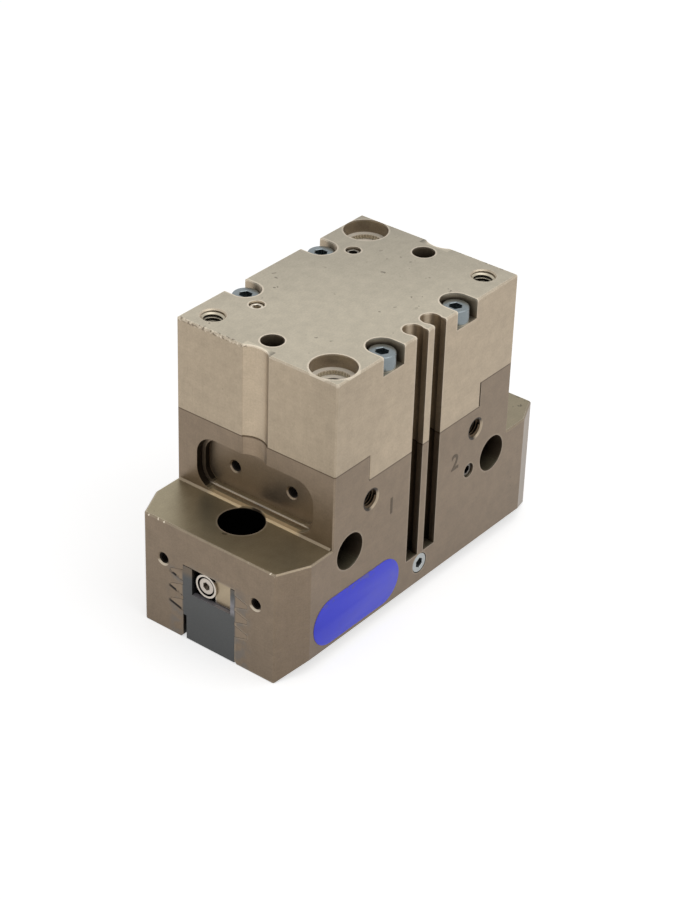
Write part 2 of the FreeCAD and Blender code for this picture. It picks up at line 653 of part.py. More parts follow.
def cut_flange_holes(piece):
    """Threads, centring seats, dowel holes and air port plugs' holes in the flange face."""
    plain, seated = corner_holes(-1), corner_holes(1)
    threaded_bore(piece, "XY", flange, plain, d.flange_thread, d.flange_thread_depth)
    bore(piece, "XY", flange, seated, d.sleeve_seat, d.sleeve_seat_depth)
    ledge = d.sleeve_seat_depth + d.sleeve_ledge_depth
    bore(piece, "XY", flange, seated, d.sleeve_ledge, ledge)
    bore(piece, "XY", flange, seated, d.flange_thread, ledge + d.flange_thread_depth)
    dowels = [(side * d.flange_hole_x / 2, 0) for side in BOTH]
    bore(piece, "XY", flange, dowels, d.dowel_hole, d.dowel_depth)
    plugs = [(side * d.air_plug_x / 2, d.air_plug_y) for side in BOTH]
    bore(piece, "XY", flange, plugs, d.air_plug + 2 * d.small_gap, d.air_plug_sink + d.air_plug_length)


def make_cover_screws():
    """Four socket head screws that hold the cover."""
    piece = Piece("cover_screws")
    screw_group(piece, "XY", screw_floor, four(d.cover_screw_x, cover_screw_y), d.cover_screw_head,
                d.cover_screw_head_height, d.cover_screw - 2 * d.small_gap, d.cover_screw_length)
    return piece


def screw_group(piece, plane, seat, places, head, head_height, thread, length, flip=False):
    """Socket head screws with their heads out of a seat, along the plane's normal unless flipped."""
    heads = piece.sketch(plane, seat)
    shanks = piece.sketch(plane, seat)
    sockets = piece.sketch(plane, seat - head_height if flip else seat + head_height)
    for x, y in places:
        heads.circle(x, y, head)
        shanks.circle(x, y, thread)
        sockets.hexagon(x, y, head * SCREW_SOCKET)
    piece.pad(heads, head_height, reverse=flip)
    doc.recompute()
    piece.pad(shanks, length, reverse=not flip)
    piece.pocket(sockets, head_height / 2, reverse=flip)
    return piece


def plug_group(piece, plane, face, places, diameter, length, flip=False):
    """Set screws with hexagon sockets, their outer ends on a level of a plane."""
    rods = piece.sketch(plane, face)
    sockets = piece.sketch(plane, face)
    for x, y in places:
        rods.circle(x, y, diameter)
        sockets.hexagon(x, y, diameter * PLUG_SOCKET)
    piece.pad(rods, length, reverse=not flip)
    doc.recompute()
    piece.pocket(sockets, length / 2, reverse=flip)
    return piece


def make_cover_seal():
    """Flat oval seal between cover and cylinder."""
    piece = Piece("cover_seal")
    ring = piece.sketch("XY", step_level)
    ring.stadium(gasket_length + 2 * d.small_gap, gasket_span + 2 * d.small_gap)
    outer = d.gasket_width - d.small_gap
    ring.stadium(gasket_length + 2 * outer, gasket_span + 2 * outer)
    piece.pad(ring, d.gasket_height)
    return piece


def make_cover_pins():
    """Two locating pins between housing and cover."""
    piece = Piece("cover_pins")
    drawing = piece.sketch("XY", parting - d.pin_length / 2)
    for side in BOTH:
        drawing.circle(side * d.pin_spacing / 2, 0, d.pin_diameter - 2 * d.small_gap)
    piece.pad(drawing, d.pin_length)
    return piece


def make_rod_ring(label, level, height):
    """A ring round the piston rod in the web below the cylinder."""
    piece = Piece(label)
    ring = piece.sketch("XY", level)
    ring.circle(0, 0, d.rod_diameter + 2 * d.rod_gap).circle(0, 0, d.bush_diameter - 2 * d.small_gap)
    piece.pad(ring, height)
    return piece


def make_springs():
    """Two compression springs between piston and cover, each a swept helix."""
    half_wire = d.spring_wire / 2
    coil = (d.spring_diameter - d.spring_wire) / 2
    height = spring_roof_level - spring_floor - d.spring_wire - 2 * d.small_gap
    for name, side in ENDS:
        x = side * d.spring_spacing / 2
        helix = doc.addObject("Part::Helix", f"{name}_spring_path")
        helix.setExpression("Radius", coil.text)
        helix.setExpression("Height", height.text)
        helix.setExpression("Pitch", (height / d.spring_turns).text)
        place(helix, x, 0, spring_floor + half_wire + d.small_gap)
        section = doc.addObject("Part::Circle", f"{name}_spring_section")
        section.setExpression("Radius", half_wire.text)
        section.Placement = Placement(Vector(), Rotation(Vector(1, 0, 0), 90))
        place(section, x + coil, 0, spring_floor + half_wire + d.small_gap)
        spring = doc.addObject("Part::Sweep", f"{name}_spring")
        spring.Sections = [section]
        spring.Spine = (helix, ["Edge1"])
        spring.Solid = True
        spring.Frenet = True


def place(item, x, y, z):
    """Ties an object's place to sheet expressions."""
    for axis, size in zip("xyz", (x, y, z)):
        item.setExpression(f"Placement.Base.{axis}", as_size(size).text)


def make_bottom_cover():
    """Plate that closes the channel between the jaws."""
    piece = Piece("bottom_cover")
    half = d.plate_width / 2
    piece.pad(piece.sketch("XY", d.plate_recess).rectangle(-plate_half, plate_half, -half, half),
              d.plate_thickness)
    holes = four(d.plate_screw_x, d.plate_screw_y)
    doc.recompute()
    sinks = bore(piece, "XY", d.plate_recess, holes, d.plate_screw_head + 2 * d.small_gap,
                 d.plate_screw_head_height, reverse=True)
    sinks.TaperAngle = HEAD_TAPER
    bore(piece, "XY", d.plate_recess, holes, d.plate_screw_thread + 4 * d.small_gap, d.plate_thickness,
         reverse=True)
    return piece


def make_bottom_cover_screws():
    """Four countersunk screws that hold the bottom cover."""
    piece = Piece("bottom_cover_screws")
    holes = four(d.plate_screw_x, d.plate_screw_y)
    cones = piece.sketch("XY", d.plate_recess)
    shanks = piece.sketch("XY", d.plate_recess)
    for x, y in holes:
        cones.circle(x, y, d.plate_screw_head)
        shanks.circle(x, y, d.plate_screw_thread - 2 * d.small_gap)
    piece.pad(cones, d.plate_screw_head_height).TaperAngle = HEAD_TAPER
    doc.recompute()
    piece.pad(shanks, d.plate_screw_length)
    return piece


def make_piston():
    """Oval piston with its rod, seal groove, spring seats, magnet seat and bolt hole."""
    piece = Piece("piston")
    length, width = bore_length - 2 * d.piston_gap, bore_width - 2 * d.piston_gap
    piece.pad(piece.sketch("XY", piston_bottom).stadium(length, width), d.piston_thickness)
    doc.recompute()
    piece.pad(piece.sketch("XY", hook_top).circle(0, 0, d.rod_diameter), piston_bottom - hook_top)
    groove = piece.sketch("XY", piston_bottom + (d.piston_thickness - d.seal_height) / 2)
    groove.stadium(length - 2 * d.seal_depth, width - 2 * d.seal_depth)
    groove.stadium(length + OVERCUT, width + OVERCUT)
    piece.pocket(groove, d.seal_height, reverse=True)
    springs = [(side * d.spring_spacing / 2, 0) for side in BOTH]
    bore(piece, "XY", piston_top, springs, spring_bore, d.spring_seat)
    bore(piece, "XY", piston_top, [(0, d.magnet_inset - bore_width / 2)],
         d.magnet_diameter + 2 * d.small_gap, d.magnet_height)
    bore(piece, "XY", piston_top, [(0, 0)], d.bolt_head + 4 * d.small_gap, d.bolt_head_height)
    bore(piece, "XY", piston_top, [(0, 0)], d.bolt_diameter + 2 * d.small_gap, None)
    return piece


def make_piston_seal():
    """Oval seal in the piston's groove."""
    piece = Piece("piston_seal")
    length, width = bore_length - 2 * d.piston_gap, bore_width - 2 * d.piston_gap
    ring = piece.sketch("XY", piston_bottom + (d.piston_thickness - d.seal_height) / 2)
    inner = d.seal_depth - d.small_gap
    ring.stadium(length, width).stadium(length - 2 * inner, width - 2 * inner)
    piece.pad(ring, d.seal_height)
    return piece


def make_piston_magnet():
    """Round magnet that the switches in the side slots read."""
    piece = Piece("piston_magnet")
    drawing = piece.sketch("XY", piston_top - d.magnet_height)
    piece.pad(drawing.circle(0, d.magnet_inset - bore_width / 2, d.magnet_diameter), d.magnet_height)
    return piece


def make_hook_bolt():
    """Socket head bolt that clamps the hook to the piston rod."""
    piece = Piece("hook_bolt")
    seat = piston_top - d.bolt_head_height
    screw_group(piece, "XY", seat, [(0, 0)], d.bolt_head, d.bolt_head_height,
                d.bolt_diameter - 2 * d.small_gap, seat - hook_bottom - d.bolt_tip_room)
    return piece


def wedge_band(drawing, side, low, high, start, end):
    """A slanted band along a jaw's inner end, between two distances from that end."""
    face = [(side * (wedge_face(level) + start), level) for level in (low, high)]
    back = [(side * (wedge_face(level) + end), level) for level in (high, low)]
    return drawing.polygon(face + back)


def make_wedge_hook():
    """Steel wedge with a slanted T rail at each end."""
    piece = Piece("wedge_hook")
    foot = wedge_face(hook_bottom) - d.hook_gap
    crown = wedge_face(hook_top) - d.hook_gap
    profile = [(-foot, hook_bottom), (foot, hook_bottom), (crown, hook_top), (-crown, hook_top)]
    piece.pad(piece.sketch("XZ").polygon(profile), d.hook_width, symmetric=True)
    doc.recompute()
    necks, heads = piece.sketch("XZ"), piece.sketch("XZ")
    for side in BOTH:
        wedge_band(necks, side, hook_bottom, hook_top, -2 * d.hook_gap, d.neck_run + d.hook_gap)
        wedge_band(heads, side, hook_bottom, hook_top, d.neck_run + d.hook_gap, d.neck_run + d.head_run)
    piece.pad(necks, d.rail_neck, symmetric=True)
    doc.recompute()
    piece.pad(heads, d.rail_head, symmetric=True)
    bore(piece, "XY", hook_top, [(0, 0)], d.bolt_diameter, hook_top - hook_bottom - d.bolt_tip_room / 2)
    return piece


def make_base_jaw(name, side):
    """Steel base jaw: toothed guide, slanted T slot inside, cam channel outside, finger threads below."""
    piece = Piece(f"{name}_base_jaw")
    inner = wedge_face(jaw_top)
    section = channel_outline(piece.sketch("YZ", side * inner), as_size(0), d.jaw_floor, jaw_top)
    piece.pad(section, half_block - inner, reverse=side < 0)
    doc.recompute()
    ramp = piece.sketch("XZ")
    ramp.polygon([(side * (inner - OVERCUT), jaw_top), (side * inner, jaw_top),
                  (side * wedge_face(d.jaw_floor), d.jaw_floor), (side * (inner - OVERCUT), d.jaw_floor)])
    piece.pocket(ramp, symmetric=True)
    doc.recompute()
    neck = wedge_band(piece.sketch("XZ"), side, d.jaw_floor, jaw_top, -OVERCUT, d.neck_run)
    piece.pocket(neck, d.rail_neck + 2 * d.hook_gap, symmetric=True)
    head = wedge_band(piece.sketch("XZ"), side, d.jaw_floor, jaw_top, d.neck_run,
                      d.neck_run + d.head_run + d.hook_gap)
    piece.pocket(head, d.rail_head + 2 * d.hook_gap, symmetric=True)
    skirts = piece.sketch("YZ")
    core = d.core_width / 2
    shelf = d.first_tooth - d.tooth_root / 2 - d.skirt_relief
    skirts.rectangle(-side * (core - d.skirt_relief), -side * (core + OVERCUT), d.jaw_floor, shelf)
    piece.pocket(skirts, symmetric=True)
    cam = piece.sketch("XY", jaw_top)
    half, middle = d.cam_channel_width / 2, side * d.cam_channel_offset
    cam.rectangle(side * (half_block - d.cam_channel_length), side * half_block, middle - half, middle + half)
    piece.pocket(cam, d.cam_channel_depth)
    fingers = [(side * (half_block - d.finger_inset - number * d.finger_spacing), 0) for number in (0, 1)]
    bore(piece, "XY", d.jaw_floor, fingers, d.finger_sleeve, d.finger_sleeve_depth, reverse=True)
    bore(piece, "XY", d.jaw_floor, fingers, d.finger_thread, d.finger_thread_depth, reverse=True)
    bore(piece, "YZ", side * half_block, [(cam_screw_y(side), cam_screw_level)], d.cam_screw_thread,
         half_block - cam_screw_seat + d.cam_screw_length + d.tip_room, reverse=side < 0)
    return piece


def cam_screw_y(side):
    """The cam screw lies to the left of the jaw's middle, seen from its own end."""
    return -side * d.cam_screw_offset


def make_switch_cam(name, side):
    """Switching cam in the jaw's channel: a bar with a round boss for its screw."""
    piece = Piece(f"{name}_switch_cam")
    bar = piece.sketch("YZ", side * cam_face)
    spans = [cam_screw_y(side) + side * d.cam_neck, side * d.cam_reach]
    bar.rectangle(*spans, cam_bottom, cam_bottom + d.cam_height)
    piece.pad(bar, d.cam_length, reverse=side > 0)
    doc.recompute()
    face = cam_face + d.cam_boss_height
    boss = piece.sketch("YZ", side * face)
    boss.circle(cam_screw_y(side), cam_screw_level, d.cam_boss)
    piece.pad(boss, d.cam_boss_height + d.cam_length, reverse=side > 0)
    place_of_screw = [(cam_screw_y(side), cam_screw_level)]
    bore(piece, "YZ", side * face, place_of_screw, d.cam_screw_recess,
         d.cam_screw_head_height + d.small_gap, reverse=side < 0)
    bore(piece, "YZ", side * face, place_of_screw, d.cam_screw_thread + 2 * d.small_gap, None,
         reverse=side < 0)
    return piece


def make_cam_screw(name, side):
    """Small socket head screw along X that holds the cam."""
    piece = Piece(f"{name}_cam_screw")
    screw_group(piece, "YZ", side * cam_screw_seat, [(cam_screw_y(side), cam_screw_level)], d.cam_screw_head,
                d.cam_screw_head_height, d.cam_screw_thread - 2 * d.small_gap, d.cam_screw_length,
                flip=side < 0)
    return piece


def make_all():
    """Builds every sub-part and returns the objects to write, by label."""
    make_lower_housing()
    make_spring_cover()
    make_cover_screws()
    make_cover_seal()
    make_cover_pins()
    make_rod_ring("rod_bush", bush_seat, d.bush_height)
    make_rod_ring("rod_seal", bush_seat + d.bush_height, d.rod_seal_height)
    make_springs()
    plug_group(Piece("flange_plugs"), "XY", flange - d.air_plug_sink,
               [(side * d.air_plug_x / 2, d.air_plug_y) for side in BOTH], d.air_plug, d.air_plug_length)
    plug_group(Piece("duct_plug"), "XZ", half_width - d.air_plug_sink, [(d.duct_plug_x, duct_level)],
               d.air_plug, d.air_plug_length)
    screw_group(Piece("grease_screw"), "XZ", half_width - d.grease_screw_head_height,
                [(0, d.grease_screw_height)], d.grease_screw_head, d.grease_screw_head_height,
                d.grease_screw_thread - 2 * d.small_gap, d.grease_screw_length)
    make_bottom_cover()
    make_bottom_cover_screws()
    make_piston()
    make_piston_seal()
    make_piston_magnet()
    make_hook_bolt()
    make_wedge_hook()
    for name, side in ENDS:
        make_base_jaw(name, side)
        make_switch_cam(name, side)
        make_cam_screw(name, side)
    doc.recompute()
    return [item for item in doc.Objects if item.TypeId in ("PartDesign::Body", "Part::Sweep")]


def check(parts):
    """Stops if an object failed, a shape is bad, or a feature changed nothing."""
    for item in doc.Objects:
        if "Invalid" in item.State or "Error" in item.State:
            raise RuntimeError(f"{item.Label} failed: {item.State}")
    for item in parts:
        if item.Shape.isNull() or not item.Shape.isValid():
            raise RuntimeError(f"{item.Label} has no valid shape")
    for item in doc.Objects:
        base = getattr(item, "BaseFeature", None)
        if item.TypeId in ("PartDesign::Pad", "PartDesign::Pocket") and base:
            grown = item.Shape.Volume - base.Shape.Volume
            if abs(grown) < 0.01 or (grown > 0) != (item.TypeId == "PartDesign::Pad"):
                raise RuntimeError(f"{item.Label} of {item.getParentGeoFeatureGroup().Label} changed {grown}")


def write(parts):
    os.makedirs("parts", exist_ok=True)
    for item in parts:
        item.Shape.exportStep(f"parts/{item.Label}.step")
        print(f"{item.Label}: {len(item.Shape.Solids)} solids, {item.Shape.Volume:.1f} mm3")


made = make_all()
check(made)
write(made)
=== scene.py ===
"""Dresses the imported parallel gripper: anodised finishes, screws, threads, side label and studio.

Objects are in metres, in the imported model's own frame: X along the jaw travel, Y across the body,
Z up to the mounting flange. Named sizes and places are millimetres.
"""
import math
from collections import namedtuple

import bmesh
import bpy
from bpy.props import FloatProperty, FloatVectorProperty, IntProperty, PointerProperty
from mathutils import Matrix, Vector


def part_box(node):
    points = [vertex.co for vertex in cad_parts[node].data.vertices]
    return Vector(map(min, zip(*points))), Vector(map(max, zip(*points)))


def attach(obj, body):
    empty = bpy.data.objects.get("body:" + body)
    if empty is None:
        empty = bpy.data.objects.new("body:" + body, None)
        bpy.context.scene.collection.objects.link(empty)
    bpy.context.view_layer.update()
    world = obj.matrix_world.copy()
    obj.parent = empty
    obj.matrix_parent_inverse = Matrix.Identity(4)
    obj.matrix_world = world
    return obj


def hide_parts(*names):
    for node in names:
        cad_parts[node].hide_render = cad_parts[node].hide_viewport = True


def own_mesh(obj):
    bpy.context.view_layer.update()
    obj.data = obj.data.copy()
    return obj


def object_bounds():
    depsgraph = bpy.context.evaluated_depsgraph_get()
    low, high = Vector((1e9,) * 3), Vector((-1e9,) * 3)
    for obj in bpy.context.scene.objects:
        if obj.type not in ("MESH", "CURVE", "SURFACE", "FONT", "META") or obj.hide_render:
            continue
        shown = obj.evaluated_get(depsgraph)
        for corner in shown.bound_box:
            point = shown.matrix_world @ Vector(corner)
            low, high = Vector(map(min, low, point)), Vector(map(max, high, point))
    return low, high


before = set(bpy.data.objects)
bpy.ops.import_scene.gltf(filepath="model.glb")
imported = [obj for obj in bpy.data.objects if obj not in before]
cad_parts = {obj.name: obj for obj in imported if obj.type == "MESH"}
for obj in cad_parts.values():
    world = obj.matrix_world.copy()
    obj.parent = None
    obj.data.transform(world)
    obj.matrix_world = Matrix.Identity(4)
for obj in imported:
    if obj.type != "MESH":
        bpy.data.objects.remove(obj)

bl_info = {
    "name": "Parallel gripper",
    "version": (1, 0, 0),
    "blender": (4, 5, 0),
    "location": "View3D > Sidebar > Gripper",
    "description": "Finishes and small hardware of a pneumatic parallel gripper",
    "category": "Object",
}

CAD_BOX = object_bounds()
MM = 0.001
UP = Vector((0, 0, 1))
DOWN = -UP
PORT_WARD = Vector((0, -1, 0))
BOTH = (-1, 1)
CORNERS = [(i, j) for i in BOTH for j in BOTH]
ENDS = (("front", -1), ("rear", 1))

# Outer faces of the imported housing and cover
END, SIDE = (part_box("lower_housing")[1][axis] / MM for axis in (0, 1))
COVER_END, COVER_SIDE, FLANGE = (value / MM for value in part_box("spring_cover")[1])

# Places of holes, teeth and joint, as the solids have them
HOLE_X, HOLE_Y = 30.0, 18.7
PORT_X, PORT_Z = 21.65, 39.9
END_HOLE_Y, END_HOLE_Z = 14.9, 20.9
BRACKET_X, BRACKET_Y, BRACKET_Z = 32.35, 9.1, 40.4
FINGER_X, FINGER_Z = (47.45, 35.45), 2.65
BORE_X, BORE_RADIUS = 40.9, 6.05
SEAT_RADIUS, SEAT_WALL = 5.95, 7.6
PORT_RIM = 3.1
# Radii of the painted highlight under the end holes
END_HOLE_RIM = (1.4, 2.0)
TOOTH_PITCH, FLANK_START, FLANK_SLOPE = 4.5, 5.95, 0.27
PARTING, SEAM_DROP = 53.2, -0.1

# Zones of the finishes: lowest, highest and softness of the border along each direction
CRISP = 0.05
TOOTH_FLANKS = dict(facing=(8.9, 13.0, 0.4), z=(7.0, 20.0))
FLANGE_RIM = dict(z=(FLANGE - 0.8, None, 0.2))
FLANGE_TOP = dict(z=(FLANGE - 0.15, None, 0.05))
BELOW_RIM = dict(z=(None, FLANGE - 0.45))
ABOVE_JOINT = dict(z=(PARTING + 0.7, None, 0.3))
FRONT_EDGE = dict(along=(COVER_END - 0.7, None, 0.2), facing=(1.5, None, 2.5), z=(FLANGE - 0.8, None, 0.3))
COVER_FLUTE = dict(along=(COVER_END - 2.3, COVER_END - 0.15), aside=(None, 4.4, 0.1))
SEAT_FLOOR = dict(z=(FLANGE - 5.0, FLANGE - 3.55))
LEFT_TEETH = dict(along=(END - 0.9, None, 0.1), facing=(4.5, None, 1.5), z=(None, 23.0, 1.0))
POCKETS = dict(along=(None, 36.5), aside=(None, 20.0, 1.0), z=(35.0, None, 1.0))
TOWER = dict(along=(None, 36.5), aside=(None, SIDE - 0.1), z=(34.5, None, 1.5))
TOWER_FLUTE = dict(along=(34.7, 36.2), aside=(None, 4.6), z=(38.0, None, 2.0))
POCKET_WALL = dict(along=(32.8, 36.2), facing=(12.0, None, 1.0), z=(33.0, 48.2))
FOOT = dict(along=(35.1, 37.0, 0.15), aside=(None, 14.0, 1.5), z=(32.25, 33.0))
LEDGE = dict(along=(34.0, 34.5, 0.1), aside=(None, 15.5, 1.0), z=(33.6, 34.05))
REAR_SHOULDER = dict(x=(36.75, None, 0.25), z=(31.8, 33.0))
SHOULDER_EDGE = dict(along=(END - 0.425, None, 0.075), aside=(13.0, None, 1.0), z=(31.5, 32.3))
BELOW_SHOULDER = dict(z=(None, 32.0))
END_FACE = dict(along=(END - 0.45, None, 0.15))
SMEARED = dict(END_FACE, aside=(None, 12.7, 2.2), z=(None, 22.2, 2.2))
PORT_FACE = dict(y=(None, 0.5 - SIDE))
SLOT_FLOORS = dict(along=(1.3, 5.8), y=(None, -20.0), z=(13.1, 14.6, 0.1))
JAW_TEETH = dict(aside=(8.55, None, 0.35))
JAW_TOP = dict(z=(19.45, None, 1.15))
JAW_SILL = dict(along=(51.8, None, 0.1), z=(14.0, 14.4))
BESIDE_CAM = dict(facing=(-8.3, -6.9), z=(14.4, 19.5, 0.8))

# Slow changes of tone: from one place to another, and the tone at each; the flange, corner and flute ones are
# painted light and shade, the housing and jaw ones darken towards the bottom
FLANGE_SHADE = (-10.0, 50.0, 1.0, 0.72)
CORNER_SHADE = (1.0, 20.0, 0.92, 1.0)
FLUTE_SHADE = (-4.2, -2.2, 0.45, 1.22)
HOUSING_SHADE = (0.0, 26.0, 0.84, 1.0)
JAW_SHADE = (0.0, 12.0, 0.86, 1.0)

# Plated finishes: width of the bright rim of polished edges and painted highlights, tone and width of the
# painted shade in sockets, and tone of a darker rear one
Plating = namedtuple("Plating", "colour roughness rim socket reach rear edge",
                     defaults=(0.25, 0.08, 2.6, 1.0, "bright_edge"))
PLATINGS = {
    "cam_finish": Plating("cam", 0.34, 0.7, edge="cam_edge"),
    "hook_finish": Plating("hardened", 0.3),
    "bright_steel": Plating("bright_zinc", 0.32),
    "bush_finish": Plating("bronze", 0.35),
    "piston_finish": Plating("bright_metal", 0.36),
    "magnet_finish": Plating("magnet", 0.45),
    "spring_finish": Plating("spring", 0.32),
    "blue_zinc": Plating("zinc", 0.3, 0.3, 0.8),
    "clear_zinc": Plating("bright_zinc", 0.24),
    "dull_zinc": Plating("grease_zinc", 0.36, 0.3, 0.25),
    "cam_zinc": Plating("cam_zinc", 0.3, 0.2, 0.06, 1.6),
    "plug_finish": Plating("plug", 0.34, 0.3, 0.1, 1.2, 0.3),
    "duct_zinc": Plating("smear", 0.4, 0.2, edge="zinc"),
    "rib_finish": Plating("flange", 0.4, 0.25, 0.1, 0.8, edge="seat"),
}

# Small hardware
Screw = namedtuple("Screw", "head height shank across socket")
COVER_SCREW = Screw(7.0, 4.0, 4.0, 3.0, 2.2)
GREASE_SCREW = Screw(5.5, 3.0, 3.0, 2.5, 1.6)
CAM_SCREW = Screw(4.5, 2.4, 2.5, 2.0, 1.3)
PLATE_SCREW = Screw(5.5, 1.3, 3.0, 2.0, 1.1)
GREASE_KNURLS, CAM_KNURLS = 32, 28
SetScrew = namedtuple("SetScrew", "diameter across socket")
SET_SCREW = SetScrew(3.9, 2.0, 2.0)
ROUND_SIDES = 48
HEX_CORNER = 1 / math.sqrt(3)
SOCKET_RIM = 0.06
Thread = namedtuple("Thread", "diameter pitch depth")
FLANGE_THREAD, SEAT_THREAD = Thread(6.0, 1.0, 14.6), Thread(6.0, 1.0, 15.0)
PORT_THREAD, FINGER_THREAD = Thread(5.0, 0.8, 8.6), Thread(5.0, 0.8, 6.4)
BRACKET_THREAD, END_THREAD = Thread(3.0, 0.5, 5.6), Thread(3.0, 0.5, 6.6)
# The housing's and the small threads take dark colours as painted shade inside their holes
THREAD_COLOURS = {"cover_thread": "flange", "housing_thread": "seam", "small_thread": "shaded_hole",
                  "jaw_thread": "jaw"}
THREAD_START, SEAT_THREAD_START = 0.35, 4.8
THREAD_RISE, THREAD_SINK, THREAD_ROOT, THREAD_CREST = 0.54, 0.46, 0.9, 0.2
TURN_STEPS = 28
SPRING_WIRE, SPRING_TURNS, WIRE_SIDES = 1.6, 6, 12
RIB_RADIUS, RIB_DEPTH, RIB_HEIGHT, RIB_START, RIBS = 4.62, 0.4, 1.15, 3.62, 36
RIB_VALLEY = 0.75
PORT_MARKS = (("1", -13.2, 33.6), ("2", 13.4, 33.5))
MARK_SCALE = 1.4

# Modelling
SMOOTH_ANGLE = math.radians(32)
MERGE = 0.001 * MM
LEVEL = 0.01 * MM
FACING = 0.9
QUARTER_TURN = (math.pi / 2, 0, 0)

# Studio, in metres
FLOOR_SIZE, FLOOR_GAP, FLOOR_GLOW = 8, 0.0001, 0.62
KEY_PLACE, KEY_SIZE = (0.1, -0.35, 0.95), 0.9
SIDE_PLACE, SIDE_SIZE = (0.35, -0.9, 0.35), 0.6
LAMP_TARGET = Vector((0, 0, 0.04))
SENSOR_WIDTH = 36
CLIP_START = 0.01


def linear(*shades):
    """Turns display shades from 0 to 255 into the linear values that a colour socket takes."""
    parts = [shade / 255 for shade in shades]
    return tuple(part / 12.92 if part <= 0.04045 else ((part + 0.055) / 1.055) ** 2.4 for part in parts)


def colour(name, description, *shades):
    return FloatVectorProperty(name=name, description=description, subtype="COLOR", size=3,
                               min=0, max=1, default=linear(*shades))


def length(name, description, millimetres):
    return FloatProperty(name=name, description=description, default=millimetres * MM,
                         subtype="DISTANCE", unit="LENGTH", precision=5)


def point(name, description, *millimetres):
    return FloatVectorProperty(name=name, description=description, size=len(millimetres), subtype="XYZ",
                               unit="LENGTH", default=tuple(part * MM for part in millimetres))


def share(name, description, value):
    return FloatProperty(name=name, description=description, default=value, min=0, max=1,
                         subtype="FACTOR")


def angle(name, description, degrees):
    return FloatProperty(name=name, description=description, default=math.radians(degrees),
                         subtype="ANGLE", unit="ROTATION")


def power(name, description, watts):
    return FloatProperty(name=name, description=description, default=watts, unit="POWER")


class GripperFinishes(bpy.types.PropertyGroup):
    """Colours of the metals, the label and the seals"""

    cover: colour("Cover", "Sides of the pale anodised spring cover", 176, 160, 138)
    # Flange and Shoulder are painted light: lighter copies of the side colours for the faces that look up
    flange: colour("Flange", "Machined flange and pocket floors of the cover", 188, 179, 160)
    housing: colour("Housing", "Sides of the brown grey anodised housing", 133, 117, 99)
    shoulder: colour("Shoulder", "Upward faces of the housing", 158, 147, 122)
    # Worn edge is real wear and painted highlight: rubbed edges and chips, and lit edge lines
    worn_and_highlight: colour("Worn edge", "Rubbed anodising along the edges", 224, 212, 192)
    nick: colour("Nick", "Small dents in the anodising", 70, 62, 50)
    # Seat is painted light: the near white of the sleeve seat floors, the pocket ledge and the rib edges
    seat: colour("Seat", "Bright floors of the sleeve seats", 246, 238, 224)
    # Bright edge and Cam edge are polished edges with painted highlights
    bright_edge: colour("Bright edge", "Polished edges of screws", 226, 224, 218)
    cam_edge: colour("Cam edge", "Polished edges of the switching cams", 204, 196, 186)
    chipped: colour("Chip", "Knocked spots on the flange edge", 96, 84, 70)
    jaw: colour("Jaw", "Dark ground steel of the base jaws", 86, 87, 87)
    tooth: colour("Guide teeth", "Oiled guide teeth of the base jaws", 138, 122, 104)
    # Oil is partly painted shade: the dark gaps along the lower flanks of the guide teeth
    oil_and_gap_shade: colour("Oil", "Old oil under the guide teeth", 26, 22, 18)
    film: colour("Film", "Brown film on the jaws' upper corners", 118, 104, 88)
    # Rubbed steel is painted light: a highlight on the post beside the cam, and a lighter sill
    painted_steel_light: colour("Rubbed steel", "Bare patch of the jaws beside the cam", 156, 152, 156)
    cam: colour("Switching cam", "Tan passivated cams", 162, 147, 124)
    cam_zinc: colour("Cam screw", "Yellowed zinc of the cam screws", 188, 179, 169)
    zinc: colour("Zinc", "Blue zinc of the cover screws", 128, 136, 139)
    bright_zinc: colour("Bright zinc", "Bright zinc of the small screws", 196, 200, 202)
    grease_zinc: colour("Dull zinc", "Dull zinc of the grease screw", 166, 170, 170)
    plug: colour("Plug steel", "Set screws that close the ducts", 226, 218, 204)
    hardened: colour("Hook steel", "Hardened wedge hook", 120, 120, 122)
    spring: colour("Spring wire", "Oiled wire of the closing springs", 150, 150, 152)
    bronze: colour("Bronze", "Rod bush", 176, 132, 78)
    bright_metal: colour("Bright aluminium", "Piston", 190, 190, 188)
    magnet: colour("Magnet", "Sintered switching magnet", 70, 70, 74)
    rubber: colour("Rubber", "Seals", 32, 32, 33)
    label: colour("Label", "Blue film of the side label", 90, 96, 254)
    scuff: colour("Scuff", "Rubbed upper edge of the side label", 128, 122, 150)
    mark: colour("Port mark", "Engraved port numerals", 108, 96, 82)
    seam: colour("Seam", "Dark joint between cover and housing", 84, 70, 54)
    # Foot is a painted highlight: the lit strip along the tower's foot under the bracket pockets
    foot: colour("Foot", "Rubbed foot of the tower under the bracket pockets", 222, 196, 154)
    shaded_hole: colour("Shaded hole", "Dark side of small holes and pockets", 26, 21, 17)
    smear: colour("Smear", "Grey grease beside the jaws", 112, 108, 104)


class GripperDetails(bpy.types.PropertyGroup):
    """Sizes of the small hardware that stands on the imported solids"""

    head_round: share("Head rounding", "Rounding of a screw head's rim, of its height", 0.1)
    knurl: share("Knurl depth", "Depth of a knurl, of the head's radius", 0.025)
    knurls: IntProperty(name="Knurls", description="Knurls round a cover screw head", default=40, min=8)
    label_length: length("Label length", "Side label along the body", 34.0)
    label_height: length("Label height", "Side label, bottom to top", 13.2)
    label_film: length("Label thickness", "Film with its clear dome", 0.3)
    label_place: point("Label place", "Middle of the side label along X and Z", -26.0, 11.6)
    seam_step: length("Seam step", "Level of the joint between the seam's steps", 46.1)
    seam_step_x: length("Seam step place", "Steps of the joint from the middle", 22.8)
    seam_width: length("Seam width", "Dark line along the joint", 0.45)
    mark_height: length("Mark height", "Port numerals, bottom to top", 4.6)
    mark_depth: length("Mark relief", "Port numerals off the face", 0.03)
    mark_weight: length("Mark weight", "Thickening of the numerals' strokes", 0.12)


